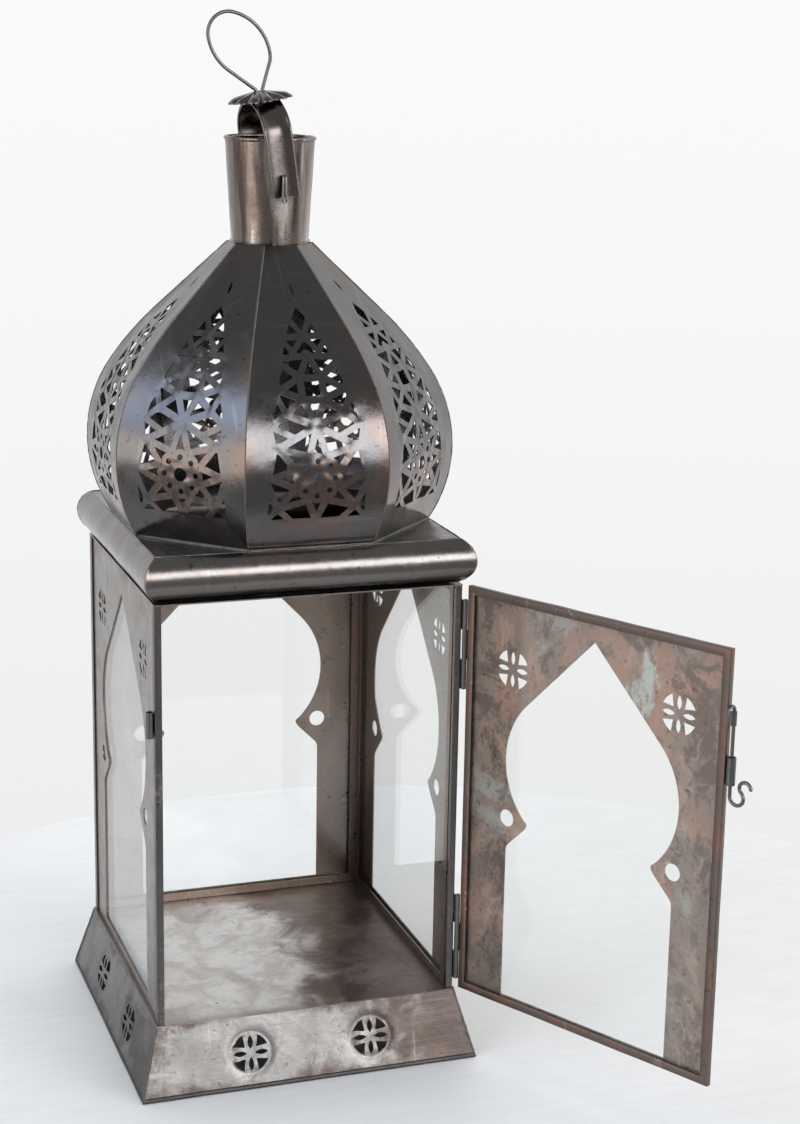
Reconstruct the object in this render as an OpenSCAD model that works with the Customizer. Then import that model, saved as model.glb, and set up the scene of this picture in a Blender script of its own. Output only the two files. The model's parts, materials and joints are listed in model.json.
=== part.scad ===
// Square glazed lantern: flared base, hinged door with a drop-hook latch, bullnose cornice,
// eight-sided pierced onion dome, chimney, swinging bail and a swivelling hanging ring.
// Millimetres. Origin at the centre of the underside, +Z up, the door opening faces -Y.

/* [Body] */
// Outer width of the glazed chamber across its corner posts
body_width = 202; // [198:1:206]
// Height of the chamber between the floor and the cornice
chamber_height = 280; // [276:1:300]
// Thickness of the sheet metal
sheet = 0.8; // [0.6:0.1:0.8]
// Thickness of the window glass
glass_thickness = 2; // [1.6:0.1:2]

/* [Base] */
// Height of the sloping skirt
skirt_height = 46; // [42:1:52]
// How far the skirt flares out on each side
skirt_flare = 12.7; // [10:0.1:16]

/* [Top] */
// Radius of the half-round cornice moulding
roll_radius = 16; // [15:0.5:17]
// Radius of the dome's belly, seen from the side
bulb_radius = 97; // [95:0.5:98]
// Height of the chimney above the dome
chimney_height = 64; // [62:1:70]

/* [Moving parts] */
// Angle at which the door stands open
door_angle = 118.5; // [0:0.5:178]
// Height at which the latch hook is lifted
hook_lift = 28; // [0:0.5:28]
// Lean of the bail to the left
bail_lean = 8; // [0:1:60]
// Turn of the hanging ring about the bail
ring_turn = 0; // [0:5:355]

/* [Hidden] */
$fn = 64;
// clearance between soldered neighbours, and the overshoot of a cut
gap = 0.1;
past = 1;

half = body_width / 2;
floor_thickness = 1;
floor_z = skirt_height + floor_thickness;
head_z = floor_z + chamber_height;

// base
skirt_top = half + 1;
skirt_bottom = skirt_top + skirt_flare;
skirt_slope = atan(skirt_flare / skirt_height);
hem_height = 3.5;
hem_thickness = 2.4;
skirt_rosette_r = 12.5;
skirt_rosette_x = 41;

// chamber walls, from the outside inwards
post_leg = 6.5;
front_post_leg = 4.6;
post_thickness = 1;
wall_out = half - post_thickness - gap;
wall_in = wall_out - sheet;
pane_out = wall_in - gap;
pane_in = pane_out - glass_thickness;
bead_out = pane_in - gap;
bead_in = bead_out - sheet;
bead_width = 5.5;
head_ring_width = 16;

// arched opening, heights above the floor
arch_apex = 262;
bulge_x = 13.5;
bulge_z = 170.5;
bulge_r = 54.5;
cusp_x = 50;
cusp_z = 130;
leg_x = 66;
leg_z = 110;
foot_z = 6.5;
eye_x = 65.5;
eye_r = 5.7;
wall_rosette = [64.3, 235.4];
door_rosette = [64.3, 230.6];
wall_rosette_r = 13;

// cornice and top plate
roll_x = half - 9;
roll_z = head_z + roll_radius;
roll_end = 60;
plate_z = roll_z + 14;
plate_half = roll_x + roll_radius * cos(roll_end) - 0.6;
vent_r = 70;

// Dome profile: a belly arc, a flatter shoulder arc and a straight 45 degree cone. The arcs
// meet along a 336-527-625 triangle's slope, so that their joint falls on whole microns.
panel_step = 45;
bulb_x = 15;
bulb_z = plate_z + 50;
bulb_start = asin((plate_z + gap - bulb_z) / bulb_radius);
shoulder_start = atan(336 / 527);
shoulder_end = 45;
shoulder_back = 110;
shoulder_radius = bulb_radius + shoulder_back;
shoulder_x = bulb_x - shoulder_back * 527 / 625;
shoulder_z = bulb_z - shoulder_back * 336 / 625;
cone_run = round(1000 * shoulder_radius * cos(shoulder_end)) / 1000;
cone_skin = round(1000 * sheet * cos(shoulder_end)) / 1000;
cone_x = shoulder_x + cone_run;
cone_z = shoulder_z + cone_run;
crown_x = 25.3;
cone_rise = cone_x - crown_x;
crown_z = cone_z + cone_rise;

// filigree heights, measured from the dome's widest line
rose_z = bulb_z - 4;
star_z = bulb_z + 29.5;
upper_star_z = bulb_z + 56;

// chimney and bail
chimney_r_low = 25;
chimney_r_high = 28.8;
chimney_z = crown_z + gap;
rim_wire_r = 1.4;
rim_z = chimney_z + chimney_height + rim_wire_r;
pivot_z = rim_z - 22;
pin_r = 1.3;
pin_wire_r = 0.8;
strap_width = 16.5;
strap_thickness = 0.9;
strap_bead_r = 1.1;
strap_y = 31.45;
strap_foot = 13;
strap_leg = 25.3;
corner_y = 15;
corner_r = strap_y - corner_y;
corner_turn = acos(3 / 5);
crown_back = corner_y * 5 / 3;
crown_r = crown_back + corner_r;
crown_arc_h = strap_leg - crown_back * 4 / 5;
strap_top = crown_arc_h + crown_r;
swivel_r = 4.2;

// petal cap
petals = 12;
petal_ring_r = 16.6;
petal_r = 4.6;
cap_r = 21.5;
cap_top = strap_top + 4.5;
cap_drop = 5.6;

// hanging ring
wire_r = 1.15;
ring_leg_x = 2.2;
ring_foot_x = 6;
ring_foot_h = strap_top - 2.6;
ring_bend_h = cap_top + 2;
ring_centre = [-9.1, 28.1];
ring_tilt = 36;
ring_half_long = 23.3;
ring_half_wide = 16.5;
ring_end_r = 13.4;
ring_end_back = ring_half_long - ring_end_r;
ring_side_r = (ring_end_back * ring_end_back + ring_half_wide * ring_half_wide
               - ring_end_r * ring_end_r) / (2 * (ring_half_wide - ring_end_r));
ring_side_back = ring_side_r - ring_half_wide;
ring_end_turn = atan(ring_side_back / ring_end_back);
ring_low = ring_centre + ring_end_back * [sin(ring_tilt), -cos(ring_tilt)] - [ring_leg_x, 0];
ring_low_heading = atan2(ring_low[1], ring_low[0]) - asin(ring_end_r / norm(ring_low));
ring_low_length = sqrt(ring_low * ring_low - ring_end_r * ring_end_r);
ring_far = ring_centre + ring_side_back * [cos(ring_tilt), sin(ring_tilt)] + [ring_leg_x, 0];
ring_far_heading = atan2(ring_far[1], ring_far[0]) + asin(ring_side_r / norm(ring_far));
ring_far_length = sqrt(ring_far * ring_far - ring_side_r * ring_side_r);

// hinges, in the door's closed position
hinge = [half + 2, -half - 0.5];
knuckle_r = 1.7;
hinge_pin_r = 0.8;
hinge_bore_r = 0.85;
hinge_height = 60;
knuckle_height = 20;
hinge_gap = 0.3;
leaf = 0.7;
hinge_lower_z = floor_z + 7;
hinge_upper_z = floor_z + 210;
leaf_x = half + 0.05;
post_leaf_width = 8;

// door, closed
door_right = half;
door_left = -half + 0.3;
door_bottom = floor_z + 0.7;
door_top = head_z - 0.5;
door_back = -half - 0.3;
door_depth = 4.5;
door_front = door_back - door_depth;
door_border = 5.5;
door_pocket = glass_thickness + sheet + 0.1;
flange = (door_depth - door_pocket) / 2;

// drop-hook latch, closed and lowered
latch_x = -half - 2.7;
hook_y = door_front + 2.25;
keeper_y = hook_y + 5.65;
keeper_r = 2.5;
keeper_bore_r = 1.7;
keeper_z = floor_z + 194;
keeper_height = 17;
guide_r = 2.9;
guide_bore_r = 2.1;
guide_z = floor_z + 196.4;
guide_height = 17.2;
hook_bend_z = floor_z + 214.7;
hook_tip_z = floor_z + 205;
hook_pull_z = floor_z + 161.6;
curl_r = 4.8;
curl_tail_r = 4;
curl_turn = 230;
collar_r = 1.9;
collar_z = hook_bend_z - 9.7;
collar_height = 9;

dark_metal = [0.27, 0.24, 0.23];
worn_metal = [0.4, 0.33, 0.3];
wire_grey = [0.45, 0.45, 0.46];
clear_glass = [0.8, 0.9, 0.92, 0.35];

// ---- placing helpers ----

// A piece drawn for the +X side, turned to side 0 right, 1 back, 2 left or 3 front.
module on_side(k) {
  rotate([0, 0, 90 * k])
    children();
}

// Stands a flat drawing up, facing +X: its x becomes +Y and its y becomes +Z.
module facing_x() {
  rotate([90, 0, 90])
    children();
}

// Stands a flat drawing up in the XZ plane, extruding towards -Y.
module facing_front(y) {
  translate([0, y, 0])
    rotate([90, 0, 0])
      children();
}

// Extrudes a half-width and height profile along Y between two mitred ends.
module mitred_length(reach) {
  intersection() {
    rotate([90, 0, 0])
      linear_extrude(2 * reach, center = true)
        children();
    linear_extrude(2 * head_z)
      polygon([[gap / 2, 0], [reach, gap / 2 - reach], [reach, reach - gap / 2]]);
  }
}

module on_door() {
  translate([hinge.x, hinge.y, 0])
    rotate([0, 0, door_angle])
      translate([-hinge.x, -hinge.y, 0])
        children();
}

module on_bail() {
  translate([0, 0, pivot_z])
    rotate([0, -bail_lean, 0])
      children();
}

module on_hook() {
  on_door()
    translate([latch_x, hook_y, hook_lift])
      children();
}

module tube(outer_r, inner_r, height) {
  difference() {
    cylinder(r = outer_r, h = height);
    translate([0, 0, -past])
      cylinder(r = inner_r, h = height + 2 * past);
  }
}

// ---- flat outlines ----

// A pointed oval between two circular arcs.
module almond(length, width) {
  arc_r = (length * length + width * width) / (4 * width);
  intersection() {
    translate([arc_r - width / 2, 0])
      circle(arc_r);
    translate([width / 2 - arc_r, 0])
      circle(arc_r);
  }
}

// Four almonds on the axes and a rounded triangle in each quarter.
module rosette(r) {
  for (k = [0:3])
    rotate(90 * k) {
      translate([0, 0.57 * r])
        almond(0.72 * r, 0.28 * r);
      intersection() {
        circle(r);
        polygon([[0.3 * r, 0.3 * r], [1.1 * r, 0.4 * r], [1.1 * r, 1.1 * r], [0.4 * r, 1.1 * r]]);
      }
    }
}

// A kite with its blunt end towards the middle, drawn between two radii.
module kite(from, to, width) {
  shoulder = from + 0.38 * (to - from);
  polygon([[0, from], [width / 2, shoulder], [0, to], [-width / 2, shoulder]]);
}

module kite_star(count, from, to, width) {
  for (k = [0:count - 1])
    rotate(k * 360 / count)
      kite(from, to, width);
}

// Part of a ring between two angles.
module ring_sector(r, thickness, from, to) {
  reach = 2.5 * r;
  middle = (from + to) / 2;
  intersection() {
    difference() {
      circle(r, $fn = 180);
      circle(r - thickness, $fn = 180);
    }
    polygon([
      [0, 0],
      reach * [cos(from), sin(from)],
      reach * [cos(middle), sin(middle)],
      reach * [cos(to), sin(to)]
    ]);
  }
}

// One half of the arched opening, x from the middle of the wall and y above the floor.
module arch_half() {
  tangent_reach = norm([bulge_x, arch_apex - bulge_z]);
  tangent_angle = 90 + atan(bulge_x / (arch_apex - bulge_z)) - acos(bulge_r / tangent_reach);
  translate([bulge_x, bulge_z])
    circle(bulge_r, $fn = 96);
  polygon([
    [0, arch_apex],
    [0, foot_z],
    [leg_x, foot_z],
    [leg_x, leg_z],
    [cusp_x, cusp_z - 3.5],
    [cusp_x - 0.8, cusp_z - 1],
    [cusp_x + 0.4, cusp_z + 0.8],
    [bulge_x, bulge_z],
    [bulge_x + bulge_r * cos(tangent_angle), bulge_z + bulge_r * sin(tangent_angle)]
  ]);
}

module arch_openings(rosette_at) {
  for (side = [0, 1])
    mirror([side, 0]) {
      arch_half();
      translate([eye_x, cusp_z])
        circle(eye_r);
      translate(rosette_at)
        rosette(wall_rosette_r);
    }
}

// The pierced openings of one dome panel, x across the panel and y up.
module filigree() {
  translate([0, rose_z]) {
    circle(4.3);
    for (k = [0:7])
      rotate(45 * k)
        translate([0, 10.8])
          circle(2.3);
    rotate(22.5)
      kite_star(8, 14, 25.5, 9);
  }
  for (side = [-1, 1]) {
    translate([side * 24, rose_z + 19])
      rotate(-side * 20)
        almond(9, 4);
    translate([side * 25.5, rose_z - 24])
      polygon([[side * 4.5, -4], [side * 3.8, 6], [-side * 5.5, -4]]);
    translate([side * 16.5, upper_star_z - 9])
      rotate(-side * 30)
        almond(11, 4.5);
  }
  translate([0, rose_z - 27.5])
    polygon([[-7, -2], [7, -2], [0, 2]]);
  translate([0, star_z])
    kite_star(8, 3.4, 12, 4.2);
  translate([0, upper_star_z])
    kite_star(6, 3, 11, 4.6);
  for (side = [-1, 1])
    translate([side * 4.8, upper_star_z + 17])
      rotate(side * 20)
        almond(9, 4.4);
  translate([0, upper_star_z + 28])
    almond(9, 4.4);
  translate([0, upper_star_z + 48])
    almond(7, 2.6);
}

// ---- base ----

// Half-width of the skirt's outer face at a height.
function skirt_x(z) = skirt_bottom - skirt_flare * z / skirt_height;

module base_hem() {
  color(dark_metal)
    for (k = [0:3])
      on_side(k)
        intersection() {
          rotate([90, 0, 0])
            linear_extrude(2 * skirt_bottom, center = true)
              polygon([
                [skirt_x(0), 0],
                [skirt_x(hem_height), hem_height],
                [skirt_x(hem_height) - hem_thickness, hem_height],
                [skirt_x(0) - hem_thickness, 0]
              ]);
          linear_extrude(hem_height)
            polygon([[0, 0], [skirt_bottom, -skirt_bottom], [skirt_bottom, skirt_bottom]]);
        }
}

module skirt(k) {
  start = hem_height + gap;
  middle = skirt_height / 2;
  color(dark_metal)
    on_side(k)
      difference() {
        mitred_length(skirt_bottom)
          polygon([
            [skirt_x(start), start],
            [skirt_top, skirt_height],
            [skirt_top - sheet, skirt_height],
            [skirt_x(start) - sheet, start]
          ]);
        for (side = [-1, 1])
          translate([skirt_x(middle), side * skirt_rosette_x, middle])
            rotate([0, -skirt_slope, 0])
              facing_x()
                linear_extrude(8, center = true)
                  rosette(skirt_rosette_r);
      }
}

module skirt_right() { skirt(0); }
module skirt_back() { skirt(1); }
module skirt_left() { skirt(2); }
module skirt_front() { skirt(3); }

module floor_plate() {
  color(worn_metal)
    translate([-skirt_top, -skirt_top, skirt_height])
      cube([2 * skirt_top, 2 * skirt_top, floor_thickness]);
}

// ---- chamber ----

// A folded corner angle in the +X -Y corner, turned by quarter turns.
module post(k, leg_x = post_leg, leg_y = post_leg) {
  color(dark_metal)
    on_side(k)
      translate([0, 0, floor_z])
        linear_extrude(chamber_height - sheet - gap)
          polygon([
            [half, -half],
            [half, -half + leg_y],
            [half - post_thickness, -half + leg_y],
            [half - post_thickness, -half + post_thickness],
            [half - leg_x, -half + post_thickness],
            [half - leg_x, -half]
          ]);
}

module post_front_right() { post(0, leg_x = front_post_leg); }
module post_back_right() { post(1); }
module post_back_left() { post(2); }
module post_front_left() { post(3, leg_y = front_post_leg); }

wall_height = chamber_height - sheet - 2 * gap;

// A pierced wall sheet facing +X; the back wall is narrower than the sides.
module wall(k, wall_half) {
  color(dark_metal)
    on_side(k)
      translate([wall_in, 0, floor_z])
        facing_x()
          linear_extrude(sheet)
            difference() {
              translate([-wall_half, gap])
                square([2 * wall_half, wall_height]);
              arch_openings(wall_rosette);
            }
}

module wall_right() { wall(0, wall_out); }
module wall_back() { wall(1, wall_in - gap); }
module wall_left() { wall(2, wall_out); }

module pane(k, pane_half) {
  color(clear_glass)
    on_side(k)
      translate([pane_in, -pane_half, floor_z + gap])
        cube([glass_thickness, 2 * pane_half, wall_height]);
}

module glass_right() { pane(0, pane_out - gap); }
module glass_back() { pane(1, pane_in - gap); }
module glass_left() { pane(2, pane_out - gap); }

// The strips that hold a pane from the inside, bent up as one frame.
module bead(k, frame_half) {
  color(dark_metal)
    on_side(k)
      translate([bead_in, 0, floor_z])
        facing_x()
          linear_extrude(sheet)
            difference() {
              translate([-frame_half, gap])
                square([2 * frame_half, wall_height]);
              translate([bead_width - frame_half, gap + bead_width])
                square([2 * (frame_half - bead_width), wall_height - 2 * bead_width]);
            }
}

module bead_right() { bead(0, bead_out); }
module bead_back() { bead(1, bead_in - gap); }
module bead_left() { bead(2, bead_out); }

module head_ring() {
  ring_in = half - head_ring_width;
  color(dark_metal)
    translate([0, 0, head_z - sheet - gap / 2])
      linear_extrude(sheet)
        difference() {
          square(2 * half, center = true);
          square(2 * ring_in, center = true);
        }
}

// ---- cornice and top plate ----

module cornice(k) {
  color(dark_metal)
    on_side(k)
      mitred_length(roll_x + roll_radius + past)
        translate([roll_x, roll_z])
          ring_sector(roll_radius, sheet, -90, roll_end);
}

module cornice_right() { cornice(0); }
module cornice_back() { cornice(1); }
module cornice_left() { cornice(2); }
module cornice_front() { cornice(3); }

module top_plate() {
  color(dark_metal)
    translate([0, 0, plate_z - sheet])
      linear_extrude(sheet)
        difference() {
          square(2 * plate_half, center = true);
          circle(vent_r, $fn = 96);
        }
}

// ---- dome ----

module gore_profile() {
  translate([bulb_x, bulb_z])
    ring_sector(bulb_radius, sheet, bulb_start, shoulder_start);
  translate([shoulder_x, shoulder_z])
    ring_sector(shoulder_radius, sheet, shoulder_start, shoulder_end);
  translate([cone_x, cone_z])
    polygon([
      [0, 0],
      [-cone_rise, cone_rise],
      [-cone_rise - cone_skin, cone_rise - cone_skin],
      [-cone_skin, -cone_skin]
    ]);
}

// One of eight pierced gores; panel 1 faces the front and the count runs to the left.
module dome_panel(k) {
  reach = bulb_x + bulb_radius + past;
  spread = reach * tan(panel_step / 2);
  color(dark_metal)
    rotate([0, 0, -90 - panel_step * (k - 1)])
      difference() {
        intersection() {
          rotate([90, 0, 0])
            linear_extrude(2 * spread, center = true)
              gore_profile();
          linear_extrude(crown_z + past)
            polygon([[gap, 0], [reach, gap / 2 - spread], [reach, spread - gap / 2]]);
        }
        facing_x()
          linear_extrude(reach)
            filigree();
      }
}

module dome_panel_1() { dome_panel(1); }
module dome_panel_2() { dome_panel(2); }
module dome_panel_3() { dome_panel(3); }
module dome_panel_4() { dome_panel(4); }
module dome_panel_5() { dome_panel(5); }
module dome_panel_6() { dome_panel(6); }
module dome_panel_7() { dome_panel(7); }
module dome_panel_8() { dome_panel(8); }

// ---- chimney ----

module chimney() {
  wall_rise = chimney_height - gap;
  color(worn_metal)
    difference() {
      translate([0, 0, chimney_z])
        difference() {
          cylinder(r1 = chimney_r_low, r2 = chimney_r_high, h = wall_rise);
          cylinder(r1 = chimney_r_low - sheet, r2 = chimney_r_high - sheet, h = wall_rise);
        }
      translate([0, 0, pivot_z])
        rotate([90, 0, 0])
          cylinder(r = pin_r + 0.05, h = 3 * chimney_r_high, center = true);
    }
}

module chimney_rim() {
  color(dark_metal)
    translate([0, 0, rim_z])
      rotate_extrude()
        translate([chimney_r_high - sheet / 2, 0])
          circle(rim_wire_r, $fn = 32);
}

// A split pin: a shank through wall and strap, a head inside and two legs bent down outside.
module bail_pin(turn) {
  shank_in = 22;
  shank_out = 35.2;
  legs_y = 34.2;
  head_y = 23.4;
  leg_length = 16;
  color(wire_grey)
    translate([0, 0, pivot_z])
      rotate([0, 0, turn]) {
        translate([0, -shank_in, 0])
          rotate([90, 0, 0])
            cylinder(r = pin_r, h = shank_out - shank_in);
        translate([0, -head_y, 0])
          rotate([90, 0, 0])
            cylinder(r = 2.4, h = 1.2);
        for (side = [-1, 1])
          translate([side * (pin_wire_r + 0.1), -legs_y, -leg_length])
            cylinder(r = pin_wire_r, h = leg_length);
      }
}

module bail_pin_front() { bail_pin(0); }
module bail_pin_back() { bail_pin(180); }

// ---- hinges ----

module hinge_knuckle(z) {
  translate([hinge.x, hinge.y, z])
    tube(knuckle_r, hinge_bore_r, knuckle_height - hinge_gap);
}

// The post's half: two knuckles on a leaf against the post's side.
module hinge_leaf(z) {
  color(wire_grey)
    for (step = [0, 2]) {
      knuckle_z = z + step * knuckle_height;
      hinge_knuckle(knuckle_z);
      difference() {
        translate([leaf_x, hinge.y, knuckle_z])
          cube([leaf, post_leaf_width, knuckle_height - hinge_gap]);
        translate([hinge.x, hinge.y, knuckle_z - past])
          cylinder(r = (knuckle_r + hinge_bore_r) / 2, h = knuckle_height + 2 * past);
      }
    }
}

module hinge_leaf_upper() { hinge_leaf(hinge_upper_z); }
module hinge_leaf_lower() { hinge_leaf(hinge_lower_z); }

module hinge_pin(z) {
  color(wire_grey)
    translate([hinge.x, hinge.y, z - 0.5])
      cylinder(r = hinge_pin_r, h = hinge_height + 0.7);
}

module hinge_pin_upper() { hinge_pin(hinge_upper_z); }
module hinge_pin_lower() { hinge_pin(hinge_lower_z); }

// The door's half: one knuckle on a leaf against the door's edge.
module door_knuckle(z) {
  knuckle_z = z + knuckle_height;
  color(wire_grey)
    on_door() {
      hinge_knuckle(knuckle_z);
      difference() {
        translate([leaf_x, door_front, knuckle_z])
          cube([leaf, hinge.y - door_front, knuckle_height - hinge_gap]);
        translate([hinge.x, hinge.y, knuckle_z - past])
          cylinder(r = (knuckle_r + hinge_bore_r) / 2, h = knuckle_height + 2 * past);
      }
    }
}

module door_knuckle_upper() { door_knuckle(hinge_upper_z); }
module door_knuckle_lower() { door_knuckle(hinge_lower_z); }

// ---- door ----

// One mitred length of the folded channel that grips the door's sheet and pane.
module door_member(outline) {
  color(worn_metal)
    on_door()
      difference() {
        facing_front(door_back)
          linear_extrude(door_depth)
            polygon(outline);
        facing_front(door_back - flange)
          linear_extrude(door_pocket)
            translate([door_left + sheet, door_bottom + sheet])
              square([door_right - door_left - 2 * sheet, door_top - door_bottom - 2 * sheet]);
      }
}

door_inner_left = door_left + door_border;
door_inner_right = door_right - door_border;
door_inner_bottom = door_bottom + door_border;
door_inner_top = door_top - door_border;
miter_gap = gap / 2;

module door_rail_top() {
  door_member([
    [door_left + miter_gap, door_top],
    [door_right - miter_gap, door_top],
    [door_inner_right - miter_gap, door_inner_top],
    [door_inner_left + miter_gap, door_inner_top]
  ]);
}

module door_rail_bottom() {
  door_member([
    [door_left + miter_gap, door_bottom],
    [door_right - miter_gap, door_bottom],
    [door_inner_right - miter_gap, door_inner_bottom],
    [door_inner_left + miter_gap, door_inner_bottom]
  ]);
}

module door_stile_hinge() {
  door_member([
    [door_right, door_bottom + miter_gap],
    [door_right, door_top - miter_gap],
    [door_inner_right, door_inner_top - miter_gap],
    [door_inner_right, door_inner_bottom + miter_gap]
  ]);
}

module door_stile_latch() {
  door_member([
    [door_left, door_bottom + miter_gap],
    [door_left, door_top - miter_gap],
    [door_inner_left, door_inner_top - miter_gap],
    [door_inner_left, door_inner_bottom + miter_gap]
  ]);
}

// A sheet that fills the channel's pocket, with a little play.
module door_fill(y, thickness) {
  play = sheet + gap;
  facing_front(y)
    linear_extrude(thickness)
      difference() {
        translate([door_left + play, door_bottom + play])
          square([door_right - door_left - 2 * play, door_top - door_bottom - 2 * play]);
        translate([(door_left + door_right) / 2, floor_z])
          children();
      }
}

module door_panel() {
  color(worn_metal)
    on_door()
      door_fill(door_back - flange - glass_thickness - 0.06, sheet)
        arch_openings(door_rosette);
}

module door_glass() {
  color(clear_glass)
    on_door()
      door_fill(door_back - flange - 0.03, glass_thickness);
}

// ---- latch ----

module hook_guide() {
  strip = 11;
  color(wire_grey)
    on_door()
      translate([latch_x, hook_y, guide_z]) {
        tube(guide_r, guide_bore_r, guide_height);
        difference() {
          translate([0, -guide_r, 0])
            cube([strip, 0.6, 0.6 * guide_height]);
          translate([0, 0, -past])
            cylinder(r = (guide_r + guide_bore_r) / 2, h = guide_height);
        }
      }
}

module latch_keeper() {
  leaf_inset = 2;
  color(wire_grey)
    translate([latch_x, keeper_y, keeper_z]) {
      tube(keeper_r, keeper_bore_r, keeper_height);
      difference() {
        translate([-half - 0.05 - leaf - latch_x, 0, leaf_inset])
          cube([leaf, 10, keeper_height - 2 * leaf_inset]);
        cylinder(r = (keeper_r + keeper_bore_r) / 2, h = keeper_height);
      }
    }
}

// An arc of round wire in the XZ plane, centred on the origin.
module wire_arc(r, from, to) {
  rotate([90, 0, 0])
    rotate([0, 0, from])
      rotate_extrude(angle = to - from)
        translate([r, 0])
          circle(wire_r, $fn = 24);
}

// The slight swelling where a wire bends, joining two lengths of it.
module wire_joint() {
  sphere(r = wire_r + 0.05, $fn = 24);
}

// The hook, drawn from the axis of its long leg in the lowered position.
module latch_hook() {
  bend_r = (keeper_y - hook_y) / 2;
  curl_x = -curl_r;
  tail_angle = -curl_turn;
  tail_reach = curl_r + curl_tail_r;
  tail_x = curl_x + tail_reach * cos(tail_angle);
  tail_z = hook_pull_z + tail_reach * sin(tail_angle);
  color(wire_grey)
    on_hook() {
      translate([0, 0, hook_pull_z])
        cylinder(r = wire_r, h = hook_bend_z - hook_pull_z);
      translate([0, 2 * bend_r, hook_tip_z])
        cylinder(r = wire_r, h = hook_bend_z - hook_tip_z);
      translate([0, bend_r, hook_bend_z])
        rotate([0, 0, 90])
          wire_arc(bend_r, 0, 180);
      for (leg = [0, 2 * bend_r])
        translate([0, leg, hook_bend_z])
          wire_joint();
      translate([0, 0, hook_pull_z])
        wire_joint();
      translate([curl_x, 0, hook_pull_z]) {
        wire_arc(curl_r, tail_angle, 0);
        translate(curl_r * [cos(tail_angle), 0, sin(tail_angle)])
          wire_joint();
      }
      translate([tail_x, 0, tail_z])
        wire_arc(curl_tail_r, tail_angle + 180, tail_angle + 400);
    }
}

module latch_collar() {
  color(wire_grey)
    on_hook()
      translate([0, 0, collar_z])
        tube(collar_r, wire_r + 0.05, collar_height);
}

// ---- bail, cap and ring ----

// The bail seen along X: two legs, two tight corners and a flat crown arc.
module bail_outline(outer, thickness) {
  for (side = [0, 1])
    mirror([side, 0]) {
      translate([strap_y + outer - thickness, -strap_foot])
        square([thickness, strap_foot + strap_leg]);
      translate([corner_y, strap_leg])
        ring_sector(corner_r + outer, thickness, 0, corner_turn);
    }
  translate([0, crown_arc_h])
    ring_sector(crown_r + outer, thickness, corner_turn, 180 - corner_turn);
}

module bail_strap() {
  color(dark_metal)
    on_bail()
      difference() {
        union() {
          facing_x()
            linear_extrude(strap_width, center = true)
              bail_outline(strap_thickness / 2, strap_thickness);
          for (side = [-1, 1])
            translate([side * strap_width / 2, 0, 0])
              facing_x()
                linear_extrude(2 * strap_bead_r, center = true)
                  bail_outline(strap_bead_r, 2 * strap_bead_r);
        }
        rotate([90, 0, 0])
          cylinder(r = pin_r + 0.1, h = 3 * strap_y, center = true);
        translate([0, 0, strap_top - 5])
          cylinder(r = swivel_r, h = 10);
      }
}

module petal_cap() {
  color(dark_metal)
    on_bail()
      intersection() {
        translate([0, 0, cap_top - cap_drop])
          difference() {
            cylinder(r1 = cap_r, r2 = 0, h = cap_drop);
            translate([0, 0, -sheet])
              cylinder(r1 = cap_r, r2 = 0, h = cap_drop);
          }
        linear_extrude(2 * cap_top)
          difference() {
            union() {
              circle(petal_ring_r);
              for (k = [0:petals - 1])
                rotate(k * 360 / petals)
                  translate([petal_ring_r, 0])
                    circle(petal_r);
            }
            circle(swivel_r);
          }
      }
}

// A straight length of wire from the bend above one leg, heading degrees above +X.
module ring_side(leg_x, heading, length) {
  translate([leg_x, 0, 0])
    rotate([0, 90 - heading, 0]) {
      cylinder(r = wire_r, h = length);
      translate([0, 0, length])
        wire_joint();
    }
}

// One arc of the oval, with the wire joined at its end.
module ring_arc(centre, r, from, to) {
  translate([centre[0], 0, centre[1]]) {
    wire_arc(r, from, to);
    translate([r * cos(to), 0, r * sin(to)])
      wire_joint();
  }
}

module hanging_ring() {
  color(wire_grey)
    on_bail()
      rotate([0, 0, ring_turn]) {
        for (side = [0, 1])
          mirror([side, 0, 0]) {
            translate([ring_leg_x, 0, ring_foot_h])
              cylinder(r = wire_r, h = ring_bend_h - ring_foot_h);
            translate([ring_leg_x, 0, ring_foot_h])
              rotate([0, 90, 0])
                cylinder(r = wire_r, h = ring_foot_x - ring_leg_x);
            for (h = [ring_foot_h, ring_bend_h])
              translate([ring_leg_x, 0, h])
                wire_joint();
          }
        translate([0, 0, ring_bend_h]) {
          ring_side(ring_leg_x, ring_low_heading, ring_low_length);
          ring_side(-ring_leg_x, ring_far_heading, ring_far_length);
          translate([ring_centre[0], 0, ring_centre[1]])
            rotate([0, -ring_tilt, 0]) {
              ring_arc([0, -ring_end_back], ring_end_r,
                       ring_low_heading - 90 - ring_tilt, ring_end_turn - 90);
              ring_arc([-ring_side_back, 0], ring_side_r, ring_end_turn - 90, 90 - ring_end_turn);
              ring_arc([0, ring_end_back], ring_end_r, 90 - ring_end_turn, 90 + ring_end_turn);
              ring_arc([ring_side_back, 0], ring_side_r,
                       90 + ring_end_turn, ring_far_heading + 90 - ring_tilt);
            }
        }
      }
}

// ---- assembly ----

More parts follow.
